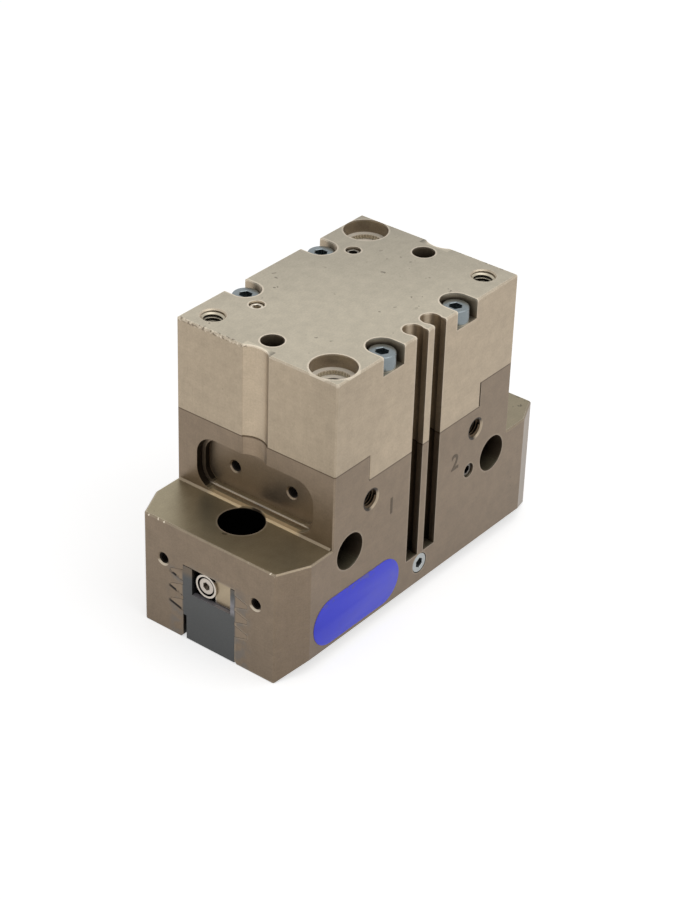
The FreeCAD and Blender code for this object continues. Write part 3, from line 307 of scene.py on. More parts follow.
class GripperStage(bpy.types.PropertyGroup):
    """Camera, lamps and floor"""

    azimuth: angle("Azimuth", "Camera's turn about the upright", -52.372)
    elevation: angle("Elevation", "Camera's height angle", 32.328)
    roll: angle("Roll", "Camera's tilt about its own line of sight", 1.815)
    target: point("Target", "Point in the middle of the picture", 11.77, 11.64, 22.91)
    distance: length("Distance", "Camera from its target", 640.38)
    lens: FloatProperty(name="Lens", description="Focal length on a 36 mm sensor, millimetres",
                        default=96.94, unit="CAMERA")
    key_power: power("Key lamp", "Overhead soft box", 2.6)
    side_power: power("Side lamp", "Soft box beside the ports", 0.3)
    room_light: FloatProperty(name="Room light", description="White room round the object",
                              default=0.35, min=0)
    floor: colour("Floor", "Pale floor", 235, 235, 235)


class Nodes:
    """A node tree that is put together in code."""

    def __init__(self, owner):
        owner.use_nodes = True
        self.tree = owner.node_tree

    def fill(self, node, feeds):
        """Links a node's sockets to other ones, or sets their own values, and colours opaque."""
        for name, value in feeds.items():
            socket = node.inputs[name]
            if isinstance(value, bpy.types.NodeSocket):
                self.tree.links.new(value, socket)
            else:
                socket.default_value = (*value, 1.0) if socket.type == "RGBA" else value
        return node

    def node(self, kind, feeds=(), **settings):
        made = self.tree.nodes.new(kind)
        for option, value in settings.items():
            setattr(made, option, value)
        return self.fill(made, dict(feeds))

    def math(self, operation, first, second=0.0, third=0.0):
        return self.node("ShaderNodeMath", {0: first, 1: second, 2: third}, operation=operation).outputs[0]

    def minus(self, first, second):
        return self.math("SUBTRACT", first, second)

    def line(self, value, slope, start):
        """A value times a slope, plus a start."""
        return self.math("MULTIPLY_ADD", value, slope, start)

    def product(self, first, *others):
        for value in others:
            first = self.math("MULTIPLY", first, value)
        return first

    def span(self, value, low, high, start, end):
        """Goes evenly from start to end while the value goes from low to high."""
        return self.node("ShaderNodeMapRange", {0: value, 1: low, 2: high, 3: start, 4: end}).outputs[0]

    def seen_directly(self):
        """1 for rays from the camera and those that metal and glass send on."""
        path = self.node("ShaderNodeLightPath").outputs
        seen = path["Is Camera Ray"]
        for ray in ("Is Glossy Ray", "Is Transmission Ray"):
            seen = self.math("MAXIMUM", seen, path[ray])
        return seen


class Finish(Nodes):
    """A material that is put together from the piece's own coordinates, with a base colour laid in coats.

    X, Y and Z are millimetres, along and aside are distances from the middle, end is the side of the
    middle, and facing is Y as someone who faces an end sees it, from right to left.
    """

    def __init__(self, name, base=None):
        self.material = bpy.data.materials.new(name)
        super().__init__(self.material)
        self.base = base
        self.shader = self.tree.nodes["Principled BSDF"]
        self.place = self.node("ShaderNodeTexCoord").outputs["Object"]
        scaled = self.node("ShaderNodeVectorMath", {0: self.place, "Scale": 1 / MM}, operation="SCALE")
        self.x, self.y, self.z = self.split(scaled.outputs[0])
        self.end, self.along = self.math("SIGN", self.x), self.math("ABSOLUTE", self.x)
        self.aside = self.math("ABSOLUTE", self.y)
        self.facing = self.product(self.end, self.y, -1.0)

    def split(self, value):
        return self.node("ShaderNodeSeparateXYZ", {0: value}).outputs

    def noise(self, scale, detail, stretch=None):
        place = self.place
        if stretch:
            place = self.node("ShaderNodeMapping", {"Vector": place, "Scale": stretch}).outputs[0]
        return self.node("ShaderNodeTexNoise", {"Vector": place, "Scale": scale, "Detail": detail}).outputs[0]

    def around(self, value, spread):
        """Turns a 0 to 1 pattern into a factor round 1."""
        return self.line(value, 2 * spread, 1 - spread)

    def ramp(self, value, low, high):
        """Rises smoothly from 0 at the low value to 1 at the high one."""
        return self.node("ShaderNodeMapRange", {0: value, 1: low, 2: high},
                         interpolation_type="SMOOTHSTEP").outputs[0]

    def within(self, value, low, high, blur=CRISP):
        """1 from a low to a high value, 0 outside; either may be left open."""
        borders = [] if low is None else [self.ramp(value, low - blur, low + blur)]
        if high is not None:
            borders.append(self.ramp(value, high + blur, high - blur))
        return self.product(*borders)

    def zone(self, spans):
        """1 in a zone of the object, 0 outside."""
        return self.product(*(self.within(getattr(self, way), *span) for way, span in spans.items()))

    def band(self, value, middle, width):
        """1 along a line of the given width, 0 beside it."""
        away = self.math("ABSOLUTE", self.minus(value, middle))
        return self.ramp(away, 0.7 * width, 0.3 * width)

    def off_axis(self, first, second):
        """Distance from an axis, from the two distances across it."""
        return self.math("SQRT", self.line(first, first, self.product(second, second)))

    def normal(self, axis):
        return self.split(self.node("ShaderNodeNewGeometry").outputs["True Normal"])[axis]

    def upward(self):
        """1 on faces that look up, 0 on upright ones."""
        return self.ramp(self.normal(2), 0.6, 0.9)

    def openness(self, reach, inside=False):
        """1 on an open face and less in hollows, or from the inside less along outer edges."""
        return self.node("ShaderNodeAmbientOcclusion", {"Distance": reach * MM}, samples=8, inside=inside,
                         only_local=inside).outputs["AO"]

    def edges(self, reach):
        """0 on a face, rising along its outer edges."""
        return self.minus(1.0, self.openness(reach, inside=True))

    def mix(self, amount, first, second, blend="MIX"):
        return self.node("ShaderNodeMix", {0: amount, 6: first, 7: second}, data_type="RGBA",
                         blend_type=blend).outputs[2]

    def coat(self, amount, shade, strength=1.0):
        """Lays a colour over the base where the amount is above 0."""
        self.base = self.mix(self.product(amount, strength), self.base, shade)

    def tint(self, factor, amount=1.0):
        """Multiplies the base by a grey pattern or number where the amount is above 0."""
        grey = factor if isinstance(factor, bpy.types.NodeSocket) else (factor, factor, factor)
        self.base = self.mix(amount, self.base, grey, "MULTIPLY")

    def hollows(self, reach, closed, opened, floor, spared=0.0):
        """Darkens the base with painted shade in holes, slots and corners."""
        dimmed = self.span(self.openness(reach), closed, opened, floor, 1.0)
        self.tint(self.math("MAXIMUM", dimmed, spared))

    def finish(self, roughness, metallic):
        """Sets the shader and hands the material over."""
        self.fill(self.shader, {"Base Color": self.base, "Roughness": roughness, "Metallic": metallic})
        return self.material

    def bump(self, height, distance, strength):
        raised = {"Height": height, "Distance": distance * MM, "Strength": strength}
        self.fill(self.shader, {"Normal": self.node("ShaderNodeBump", raised).outputs[0]})


def finishes():
    return bpy.context.scene.gripper_finishes


def anodised(name, sides, top, wear_and_highlight, marks, floor):
    """Bead blasted and anodised aluminium: grain, cutter lines, nicks, rubbed edges with painted highlights,
    faces that look up painted lighter, and painted shade in hollows.
    """
    made, shades = Finish(name), finishes()
    grain, lines, upward = made.noise(2300, 3), made.noise(70, 2, (1, 1, 34)), made.upward()
    # Painted light: faces that look up take the lighter top colour
    made.base = made.mix(upward, sides, top)
    patterns = ((grain, 0.18), (made.noise(330, 4), 0.14), (made.noise(42, 3), 0.1), (lines, 0.05),
                (made.noise(60, 2, (1, 40, 1)), 0.04))
    for pattern, spread in patterns:
        made.tint(made.around(pattern, spread))
    nicks = made.product(made.ramp(made.noise(640, 1), 0.71, 0.75), made.ramp(made.noise(70, 1), 0.52, 0.6))
    made.coat(nicks, shades.nick, made.line(upward, 0.4, 0.2))
    # Rubbed edges and painted edge highlights, laid in one pale coat
    rubbed = made.ramp(made.line(made.noise(520, 3), 0.25, made.edges(0.8)), 0.28, 0.4)
    made.coat(rubbed, shades.worn_and_highlight, wear_and_highlight(made, upward))
    spared = marks(made, shades)
    # Painted shade in holes, slots and inner corners, kept off the spared places
    made.hollows(12, 0.1, 0.45, floor, spared)
    made.bump(made.line(lines, 0.6, grain), 0.02, 0.3)
    return made.finish(made.line(grain, 0.14, 0.3), made.line(spared, -0.7, 0.8))


def seat_radius(made):
    """Distance from the axis of a sleeve seat."""
    return made.off_axis(made.minus(made.along, HOLE_X), made.math("ADD", made.facing, HOLE_Y))


def cover_wear_and_highlight(made, upward):
    """Rubbed edges with a painted highlight along the flange's rims and a little at the corners, not over the
    thin sleeve seat walls.
    """
    thin = made.product(made.within(seat_radius(made), None, SEAT_WALL), made.zone(BELOW_RIM))
    amount = made.line(made.zone(FLANGE_RIM), 0.5, made.line(upward, 0.3, 0.2))
    return made.product(amount, made.zone(ABOVE_JOINT), made.minus(1.0, thin))


def cover_marks(made, shades):
    """Painted shade by the side corners and across the flange top, knocked spots on its front edge, painted
    light and shade in the flutes, and seat floors painted bright as if lit.
    """
    # Painted shade: the sides darken towards their upright corners and the flange top towards its far corner
    corner = made.off_axis(made.minus(made.along, COVER_END), made.math("ADD", made.facing, COVER_SIDE))
    top = made.zone(FLANGE_TOP)
    made.tint(made.span(corner, *CORNER_SHADE), made.minus(1.0, top))
    made.tint(made.span(made.math("ADD", made.x, made.y), *FLANGE_SHADE), top)
    strip, spots = made.zone(FRONT_EDGE), made.noise(1300, 2)
    made.coat(made.product(strip, made.ramp(spots, 0.56, 0.62)), shades.chipped, 0.7)
    made.coat(made.product(strip, made.ramp(spots, 0.42, 0.36)), shades.worn_and_highlight, 0.8)
    # Painted light and shade across the switch flutes
    made.tint(made.span(made.facing, *FLUTE_SHADE), made.zone(COVER_FLUTE))
    # Seat floors painted near white as if lit, and kept out of the painted shade
    floors = made.product(made.within(seat_radius(made), None, SEAT_RADIUS), made.zone(SEAT_FLOOR))
    made.coat(floors, shades.seat)
    return floors


def seam_sizes():
    """Level and place of the joint's steps and the width of its dark line."""
    details = bpy.context.scene.gripper_details
    return details.seam_step / MM, details.seam_step_x / MM, details.seam_width / MM


def seam_level(made):
    """Height of the stepped joint between housing and cover."""
    step, place, _ = seam_sizes()
    return made.line(made.math("GREATER_THAN", made.along, place), PARTING - step, step)


def housing_wear_and_highlight(made, upward):
    """Rubbed edges with a painted highlight, strong on edges that look up, little on upright ones, not at the
    joint, pockets and left teeth.
    """
    below = made.ramp(made.minus(seam_level(made), made.z), 0.5, 1)
    spared = made.math("MAXIMUM", made.zone(LEFT_TEETH), made.zone(POCKETS))
    return made.product(made.line(upward, 0.4, 0.12), below, made.minus(1.0, spared))


def housing_marks(made, shades):
    """Joint, grease, chips, oil with painted gap shade, painted highlights on the tower's foot, the ledge and
    end holes, and painted light and shade on pockets, ports, slots, bore, flute and rear shoulder.
    """
    made.tint(made.span(made.z, *HOUSING_SHADE))
    made.tint(1.1, made.zone(TOWER))
    # Painted shade on the top of the rear shoulder
    made.tint(0.8, made.product(made.zone(REAR_SHOULDER), made.upward()))
    step, place, width = seam_sizes()
    seam = made.band(made.minus(made.z, seam_level(made)), SEAM_DROP, width)
    riser = made.product(made.band(made.along, place, width), made.math("GREATER_THAN", made.z, step))
    made.coat(made.math("MAXIMUM", seam, riser), shades.seam, 0.8)
    smeared = made.product(made.zone(SMEARED), made.ramp(made.noise(380, 4), 0.42, 0.62))
    made.coat(smeared, shades.smear, 0.6)
    end_face = made.zone(END_FACE)
    # Oil and painted shade in the gaps along the guide teeth
    made.coat(made.product(oil_and_gap_shade_lines(made), end_face), shades.oil_and_gap_shade, 0.85)
    chips = made.product(made.zone(SHOULDER_EDGE), made.ramp(made.noise(1000, 0), 0.7, 0.74))
    made.coat(chips, shades.worn_and_highlight)
    port_rims(made, shades)
    # Painted highlight: a lit crescent under each small hole in the end faces
    below = made.minus(made.z, END_HOLE_Z)
    hole = made.off_axis(made.minus(made.aside, END_HOLE_Y), below)
    rim = made.product(end_face, made.within(hole, *END_HOLE_RIM), made.ramp(below, -0.6, -1.3))
    made.coat(rim, shades.worn_and_highlight, 0.6)
    # Painted light in the tower's flute
    made.tint(1.3, made.zone(TOWER_FLUTE))
    # Painted shade on the pocket walls, on the slot floors and in the sensor bore
    turned = made.ramp(made.product(made.normal(1), made.end), 0.25, 0.6)
    made.coat(made.product(made.zone(POCKET_WALL), turned), shades.shaded_hole, 0.95)
    made.coat(made.zone(SLOT_FLOORS), shades.shaded_hole, 0.8)
    bore = made.off_axis(made.minus(made.along, BORE_X), made.y)
    made.tint(0.0, made.product(made.within(bore, None, BORE_RADIUS), made.zone(BELOW_SHOULDER)))
    # Painted highlights on the tower's foot and the pocket ledge, kept out of the painted shade
    foot, ledge = made.zone(FOOT), made.zone(LEDGE)
    made.coat(foot, shades.foot)
    made.coat(ledge, shades.seat)
    return made.product(made.math("MAXIMUM", foot, ledge), 0.8)


def oil_and_gap_shade_lines(made):
    """1 along the lower flanks of the guide teeth on the left of each end face, where oil and painted gap
    shade go.
    """
    flank = made.line(made.facing, -FLANK_SLOPE, made.minus(made.z, FLANK_START))
    turns = made.math("DIVIDE", flank, TOOTH_PITCH)
    away = made.math("ABSOLUTE", made.minus(turns, made.math("ROUND", turns)))
    return made.product(made.ramp(away, 0.12, 0.06), made.zone(TOOTH_FLANKS),
                        made.ramp(made.noise(420, 2), 0.3, 0.45))


def port_rims(made, shades):
    """Countersinks of the air ports, with painted shade on the left and a painted highlight on the right."""
    across = made.product(made.end, made.minus(made.along, PORT_X))
    above = made.minus(made.z, PORT_Z)
    rim = made.product(made.within(made.off_axis(across, above), None, PORT_RIM, 0.08), made.zone(PORT_FACE))
    lit = made.ramp(made.line(above, -0.55, made.product(across, 0.85)), 0.6, 2.4)
    made.coat(rim, made.mix(lit, shades.shaded_hole, shades.cover), 0.9)


def cover_anodised(name):
    shades = finishes()
    return anodised(name, shades.cover, shades.flange, cover_wear_and_highlight, cover_marks, 0.2)


def housing_anodised(name):
    shades = finishes()
    return anodised(name, shades.housing, shades.shoulder, housing_wear_and_highlight, housing_marks, 0.0)


def plated(name):
    """Plated or bare steel with cloudy plating, fine scratches, polished edges with painted highlights, and
    painted shade in sockets.
    """
    plating, shades = PLATINGS[name], finishes()
    made = Finish(name, getattr(shades, plating.colour))
    grain = made.noise(3000, 2)
    made.tint(made.around(made.noise(330, 3), 0.12))
    made.tint(made.around(made.noise(160, 2, (1, 14, 14)), 0.08))
    # Polished edges with painted highlights
    made.coat(made.ramp(made.edges(plating.rim), 0.22, 0.5), getattr(shades, plating.edge))
    # Darker on the rear side, by the rear tone
    made.tint(made.span(made.x, -1, 1, 1.0, plating.rear))
    made.hollows(plating.reach, 0.22, 0.6, plating.socket)
    made.bump(grain, 0.01, 0.25)
    return made.finish(made.line(grain, 0.16, plating.roughness - 0.08), 1.0)


def threaded(name):
    """Thread flanks, bright at the mouth and darkened by painted shade to black farther down."""
    made = Finish(name, getattr(finishes(), THREAD_COLOURS[name]))
    made.tint(made.around(made.noise(900, 2), 0.15))
    made.hollows(8, 0.06, 0.4, 0.0)
    return made.finish(0.34, 0.9)


def ground_steel(name):
    """Ground base jaws: lines along the travel, lighter guide teeth, oil with painted gap shade, a brown film,
    a painted highlight beside the cam, a sill painted lighter and painted shade in hollows.
    """
    made, shades = Finish(name), finishes()
    lines, cloud = made.noise(90, 3, (1, 26, 26)), made.noise(120, 3)
    made.base = made.mix(made.zone(JAW_TEETH), shades.jaw, shades.tooth)
    for tone in (made.around(lines, 0.1), made.around(cloud, 0.12), made.span(made.z, *JAW_SHADE)):
        made.tint(tone)
    made.coat(made.product(made.zone(JAW_TOP), made.ramp(cloud, 0.35, 0.6)), shades.film, 0.8)
    # Painted highlight on the post beside the cam
    made.coat(made.product(made.zone(BESIDE_CAM), made.ramp(cloud, 0.3, 0.5)), shades.painted_steel_light)
    # Oil and painted shade in the gaps along the guide teeth
    made.coat(oil_and_gap_shade_lines(made), shades.oil_and_gap_shade)
    # Sill painted lighter against its shade, and kept out of the painted shade
    sill = made.product(made.zone(JAW_SILL), made.upward())
    made.coat(sill, shades.painted_steel_light)
    made.hollows(6, 0.1, 0.5, 0.0, sill)
    made.bump(lines, 0.02, 0.25)
    return made.finish(made.line(cloud, 0.2, 0.32), made.line(sill, -0.75, 0.85))


def moulded(name):
    """Rubber with a fine skin."""
    made = Finish(name, finishes().rubber)
    grain = made.noise(1800, 3)
    made.tint(made.around(grain, 0.15))
    made.bump(grain, 0.02, 0.3)
    return made.finish(0.55, 0.0)


def label_film(name):
    """Blue film under a clear dome, rubbed paler along its upper edge."""
    details, shades = bpy.context.scene.gripper_details, finishes()
    made = Finish(name, shades.label)
    cloud = made.noise(260, 4)
    top = (details.label_place[1] + details.label_height / 2) / MM
    made.tint(made.around(cloud, 0.08))
    scuffs = made.product(made.ramp(made.z, top - 2.6, top - 0.2), made.ramp(made.noise(480, 3), 0.5, 0.62))
    made.coat(scuffs, shades.scuff, 0.5)
    made.fill(made.shader, {"Specular IOR Level": 0.18})
    made.bump(cloud, 0.03, 0.15)
    return made.finish(made.line(cloud, 0.15, 0.3), 0.0)


def engraved(name):
    """Grooves that have kept some dirt."""
    made = Finish(name, finishes().mark)
    made.tint(made.around(made.noise(1500, 3), 0.2))
    return made.finish(0.6, 0.6)


FINISHES = {"cover_finish": cover_anodised, "housing_finish": housing_anodised, "jaw_finish": ground_steel,
            "rubber_finish": moulded, "label_finish": label_film, "mark_finish": engraved,
            **dict.fromkeys(PLATINGS, plated), **dict.fromkeys(THREAD_COLOURS, threaded)}


def material_of(finish):
    """The material of a finish, made on its first use."""
    return bpy.data.materials.get(finish) or FINISHES[finish](finish)


def dress(**nodes):
    """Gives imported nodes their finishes."""
    for node, finish in nodes.items():
        holder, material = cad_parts[node], material_of(finish)
        if not holder.material_slots:
            holder.data.materials.append(material)
        for slot in holder.material_slots:
            slot.material = material


def clear_selection():
    """Leaves edit mode and selects nothing, so that operators act on the new piece alone."""
    if bpy.context.object is not None and bpy.context.object.mode != "OBJECT":
        close_mesh()
    bpy.ops.object.select_all(action="DESELECT")


def take(piece):
    """Makes one piece the only selected and active one."""
    clear_selection()
    piece.select_set(True)
    bpy.context.view_layer.objects.active = piece


def open_mesh(piece, action="DESELECT"):
    take(piece)
    bpy.ops.object.mode_set(mode="EDIT")
    bpy.ops.mesh.select_all(action=action)


def close_mesh():
    bpy.ops.object.mode_set(mode="OBJECT")


def pick(piece, kind, wanted):
    """Selects the vertices, edges or faces of an open mesh that pass a test."""
    bpy.ops.mesh.select_mode(type=kind)
    bpy.ops.mesh.select_all(action="DESELECT")
    mesh = bmesh.from_edit_mesh(piece.data)
    mesh.normal_update()
    for item in {"VERT": mesh.verts, "EDGE": mesh.edges, "FACE": mesh.faces}[kind]:
        if wanted(item):
            item.select_set(True)
    mesh.select_flush_mode()
    bmesh.update_edit_mesh(piece.data)


def settle_shape(piece):
    """Moves a piece's place, turn and size into its mesh."""
    take(piece)
    bpy.ops.object.transform_apply(location=True, rotation=True, scale=True)


def started(scale=(1, 1, 1)):
    """Stretches the primitive that was just added, settles it and opens its mesh."""
    piece = bpy.context.object
    piece.scale = scale
    settle_shape(piece)
    open_mesh(piece)
    return piece


def pull(height):
    """Extrudes the picked faces of an open mesh along Z."""
    bpy.ops.mesh.extrude_region_move(TRANSFORM_OT_translate={"value": (0, 0, height)})


def widen(factor):
    """Spreads what is picked in an open mesh away from the Z axis, or draws it in."""
    bpy.ops.transform.resize(value=(factor, factor, 1), center_override=(0, 0, 0))


def break_edges(piece, offset, segments, wanted):
    """Rounds the edges of an open mesh that pass a test."""
    pick(piece, "EDGE", wanted)
    bpy.ops.mesh.bevel(offset=offset, segments=segments, affect="EDGES")


def looks_up(face):
    return face.normal.z > FACING


def looks_down(face):
    return face.normal.z < -FACING


def at_top(edge):
    return min(vert.co.z for vert in edge.verts) > -LEVEL


def every_other(vert, count):
    """Tells whether a vertex stands on an odd one of the lines that part a circle into twice the count."""
    return round(math.atan2(vert.co.y, vert.co.x) * count / math.pi) % 2


def modify(piece, kind, **settings):
    """Adds a modifier and applies it."""
    take(piece)
    bpy.ops.object.modifier_add(type=kind)
    modifier = piece.modifiers[-1]
    for option, value in settings.items():
        setattr(modifier, option, value)
    bpy.ops.object.modifier_apply(modifier=modifier.name)


def wind(piece, steps, **settings):
    """Winds a profile round the Z axis."""
    modify(piece, "SCREW", axis="Z", steps=steps, render_steps=steps, **settings)


def tidy_normals(piece):
    open_mesh(piece, "SELECT")
    bpy.ops.mesh.remove_doubles(threshold=MERGE)
    bpy.ops.mesh.normals_make_consistent(inside=False)
    close_mesh()


def cap_ends(piece, sides):
    """Closes the two ends of a wound profile."""
    open_mesh(piece, "SELECT")
    bpy.ops.mesh.fill_holes(sides=sides)
    close_mesh()
    tidy_normals(piece)


def upright_profile(x, z, width, height):
    """Starts an upright rectangle on the X and Z axes."""
    clear_selection()
    bpy.ops.mesh.primitive_plane_add(size=1, location=(x, 0, z), rotation=QUARTER_TURN)
    return started((width, height, 1))


def keep_outline():
    """Drops the faces of an open mesh, keeps their edges and closes it."""
    bpy.ops.mesh.select_all(action="SELECT")
    bpy.ops.mesh.delete(type="ONLY_FACE")
    close_mesh()


def hand_over(piece, name, body, finish, node=None):
    """Names a finished piece, smooths it and puts it on its body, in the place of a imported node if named."""
    take(piece)
    bpy.ops.object.shade_smooth_by_angle(angle=SMOOTH_ANGLE)
    piece.name = piece.data.name = name
    piece.data.materials.clear()
    piece.data.materials.append(material_of(finish))
    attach(piece, body)
    if node:
        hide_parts(node)


def copies_at(pattern, spots):
    """Copies a modelled piece to each place and direction and joins the copies."""
    copies = []
    for place, direction in spots:
        take(pattern)
        bpy.ops.object.duplicate()
        copy = bpy.context.object
        turn = Vector(direction).to_track_quat("Z", "Y").to_matrix().to_4x4()
        copy.matrix_world = Matrix.Translation(place) @ turn
        copies.append(copy)
    clear_selection()
    for copy in copies:
        copy.select_set(True)
    bpy.context.view_layer.objects.active = copies[0]
    if len(copies) > 1:
        bpy.ops.object.join()
    joined = bpy.context.object
    settle_shape(joined)
    bpy.data.objects.remove(pattern)
    return joined


def face_of(node, way):
    """Middle of the face that a node's box turns one way, and the box's length that way."""
    low, high = (Vector(corner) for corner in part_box(node))
    reach = abs((high - low).dot(way))
    return (low + high) / 2 + reach / 2 * way, reach


def corner_spots(node, sizes, way):
    """Places of a node's four screws, whose heads fill the corners of its box."""
    x, y = (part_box(node)[1][axis] - sizes.head * MM / 2 for axis in (0, 1))
    z = face_of(node, way)[0].z
    return [((i * x, j * y, z), way) for i, j in CORNERS]


def blank(sides, radius, foot, height, top=0.0):
    """Starts a bar that hangs down the Z axis from a level, with its own radius at the foot."""
    clear_selection()
    bpy.ops.mesh.primitive_cone_add(vertices=sides, radius1=foot, radius2=radius, depth=height,
                                    location=(0, 0, top - height / 2))
    return started()


def carve_hexagon(piece, across, depth):
    """Sinks a hexagon socket with a broken rim into a head that points up from the origin."""
    corner, rim = across * HEX_CORNER, SOCKET_RIM * across
    cutter = blank(6, corner, corner, depth - rim, -rim)
    pick(cutter, "FACE", looks_up)
    pull(3 * rim)
    widen(1 + 3 * rim / corner)
    close_mesh()
    modify(piece, "BOOLEAN", object=cutter, operation="DIFFERENCE", solver="EXACT")
    bpy.data.objects.remove(cutter)


def socket_head_screw(sizes, reach, knurls):
    """Models one knurled socket head screw that points up, with the top of its head at the origin."""
    details = bpy.context.scene.gripper_details
    head, height, shank, across, socket = (size * MM for size in sizes)
    rounding = details.head_round * height
    screw = blank(2 * knurls, head / 2, head / 2, height)
    pick(screw, "FACE", looks_down)
    bpy.ops.mesh.inset(thickness=(head - shank) / 2)
    pull(height - reach)
    break_edges(screw, rounding, 4, at_top)
    pick(screw, "VERT", lambda vert: vert.co.z < -0.99 * rounding and vert.co.xy.length > 0.49 * head
         and every_other(vert, knurls))
    widen(1 - details.knurl)
    close_mesh()
    carve_hexagon(screw, across, socket)
    return screw


def set_screw(reach):
    """Models one set screw that points up, with its face at the origin."""
    diameter, across, socket = (size * MM for size in SET_SCREW)
    screw = blank(ROUND_SIDES, diameter / 2, diameter / 2, reach)
    break_edges(screw, 0.12 * diameter, 2,
                lambda edge: abs(edge.verts[0].co.z - edge.verts[1].co.z) < LEVEL)
    close_mesh()
    carve_hexagon(screw, across, socket)
    return screw


def countersunk_screw(sizes, reach):
    """Models one countersunk screw that points up, with its face at the origin."""
    head, height, shank, across, socket = (size * MM for size in sizes)
    screw = blank(ROUND_SIDES, head / 2, shank / 2, height)
    pick(screw, "FACE", looks_down)
    pull(height - reach)
    break_edges(screw, 0.04 * head, 2, at_top)
    close_mesh()
    carve_hexagon(screw, across, socket)
    return screw


def thread_ridge(sizes):
    """Models one thread that winds down from the origin, as a ridge on the wall of its hole."""
    diameter, pitch, depth = (size * MM for size in sizes)
    rise = THREAD_RISE * pitch
    ridge = upright_profile(diameter / 2 - THREAD_SINK * rise, -pitch / 2, rise, THREAD_ROOT * pitch)
    pick(ridge, "VERT", lambda vert: vert.co.x < (diameter - rise) / 2)
    bpy.ops.transform.resize(value=(1, 1, THREAD_CREST), center_override=(0, 0, -pitch / 2))
    keep_outline()
    wind(ridge, TURN_STEPS, angle=-2 * math.pi, screw_offset=-pitch, iterations=int(depth / pitch - 0.5))
    cap_ends(ridge, 4)
    return ridge


def coil_spring(diameter, height):
    """Models one open coil spring of round wire that stands on the origin."""
    wire = SPRING_WIRE * MM
    clear_selection()
    bpy.ops.mesh.primitive_circle_add(vertices=WIRE_SIDES, radius=wire / 2, rotation=QUARTER_TURN,
                                      location=((diameter - wire) / 2, 0, wire / 2))
    spring = started()
    close_mesh()
    wind(spring, TURN_STEPS, angle=2 * math.pi, screw_offset=(height - wire) / SPRING_TURNS,
         iterations=SPRING_TURNS)
    cap_ends(spring, WIRE_SIDES)
    return spring


def ribbed_ring():
    """Models one ring with upright ribs on its inside, hanging down from the origin."""
    radius, depth, height = (size * MM for size in (RIB_RADIUS, RIB_DEPTH, RIB_HEIGHT))
    ring = upright_profile(radius - depth / 2, -height / 2, depth, height)
    keep_outline()
    wind(ring, 2 * RIBS, screw_offset=0, use_merge_vertices=True, merge_threshold=MERGE)
    open_mesh(ring)
    pick(ring, "VERT", lambda vert: vert.co.xy.length < radius - depth / 2 and every_other(vert, RIBS))
    widen(1 + RIB_VALLEY * depth / radius)
    close_mesh()
    tidy_normals(ring)
    return ring


class GRIPPER_OT_anodised_bodies(bpy.types.Operator):
    """Gives the housing, the cover and the bottom plate their anodised finish"""

    bl_idname = "gripper.anodised_bodies"
    bl_label = "Anodised bodies"

    def execute(self, context):
        dress(spring_cover="cover_finish", lower_housing="housing_finish", bottom_cover="housing_finish")
        return {"FINISHED"}


class GRIPPER_OT_jaws(bpy.types.Operator):
    """Gives the base jaws, their cams and the wedge hook their finish"""

    bl_idname = "gripper.jaws"
    bl_label = "Jaws and hook"

    def execute(self, context):
        dress(front_base_jaw="jaw_finish", rear_base_jaw="jaw_finish", front_switch_cam="cam_finish",
              rear_switch_cam="cam_finish", wedge_hook="hook_finish")
        return {"FINISHED"}


class GRIPPER_OT_inner_parts(bpy.types.Operator):
    """Gives the piston, the pins and the seals their finish"""

    bl_idname = "gripper.inner_parts"
    bl_label = "Inner parts"

    def execute(self, context):
        dress(cover_pins="bright_steel", hook_bolt="bright_steel", rod_bush="bush_finish",
              piston="piston_finish", piston_magnet="magnet_finish", cover_seal="rubber_finish",
              rod_seal="rubber_finish", piston_seal="rubber_finish")
        return {"FINISHED"}


class GRIPPER_OT_closing_springs(bpy.types.Operator):
    """Models the two closing springs at the length of the imported ones; the real springs shorten as the
    piston rises
    """

    bl_idname = "gripper.closing_springs"
    bl_label = "Closing springs"

    def execute(self, context):
        for name, _ in ENDS:
            low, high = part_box(f"{name}_spring")
            height = high[2] - low[2]
            spring = coil_spring(high[0] - low[0], height)
            placed = copies_at(spring, [(((low[0] + high[0]) / 2, 0, low[2]), UP)])
            hand_over(placed, f"{name}_closing_spring", "housing", "spring_finish",
                      f"{name}_spring")
            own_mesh(placed)
        return {"FINISHED"}


class GRIPPER_OT_cover_screws(bpy.types.Operator):
    """Models the four knurled cap screws of the cover"""

    bl_idname = "gripper.cover_screws"
    bl_label = "Cover screws"

    def execute(self, context):
        reach = face_of("cover_screws", UP)[1]
        screw = socket_head_screw(COVER_SCREW, reach, context.scene.gripper_details.knurls)
        hand_over(copies_at(screw, corner_spots("cover_screws", COVER_SCREW, UP)), "cap_screws", "housing",
                  "blue_zinc", "cover_screws")
        return {"FINISHED"}


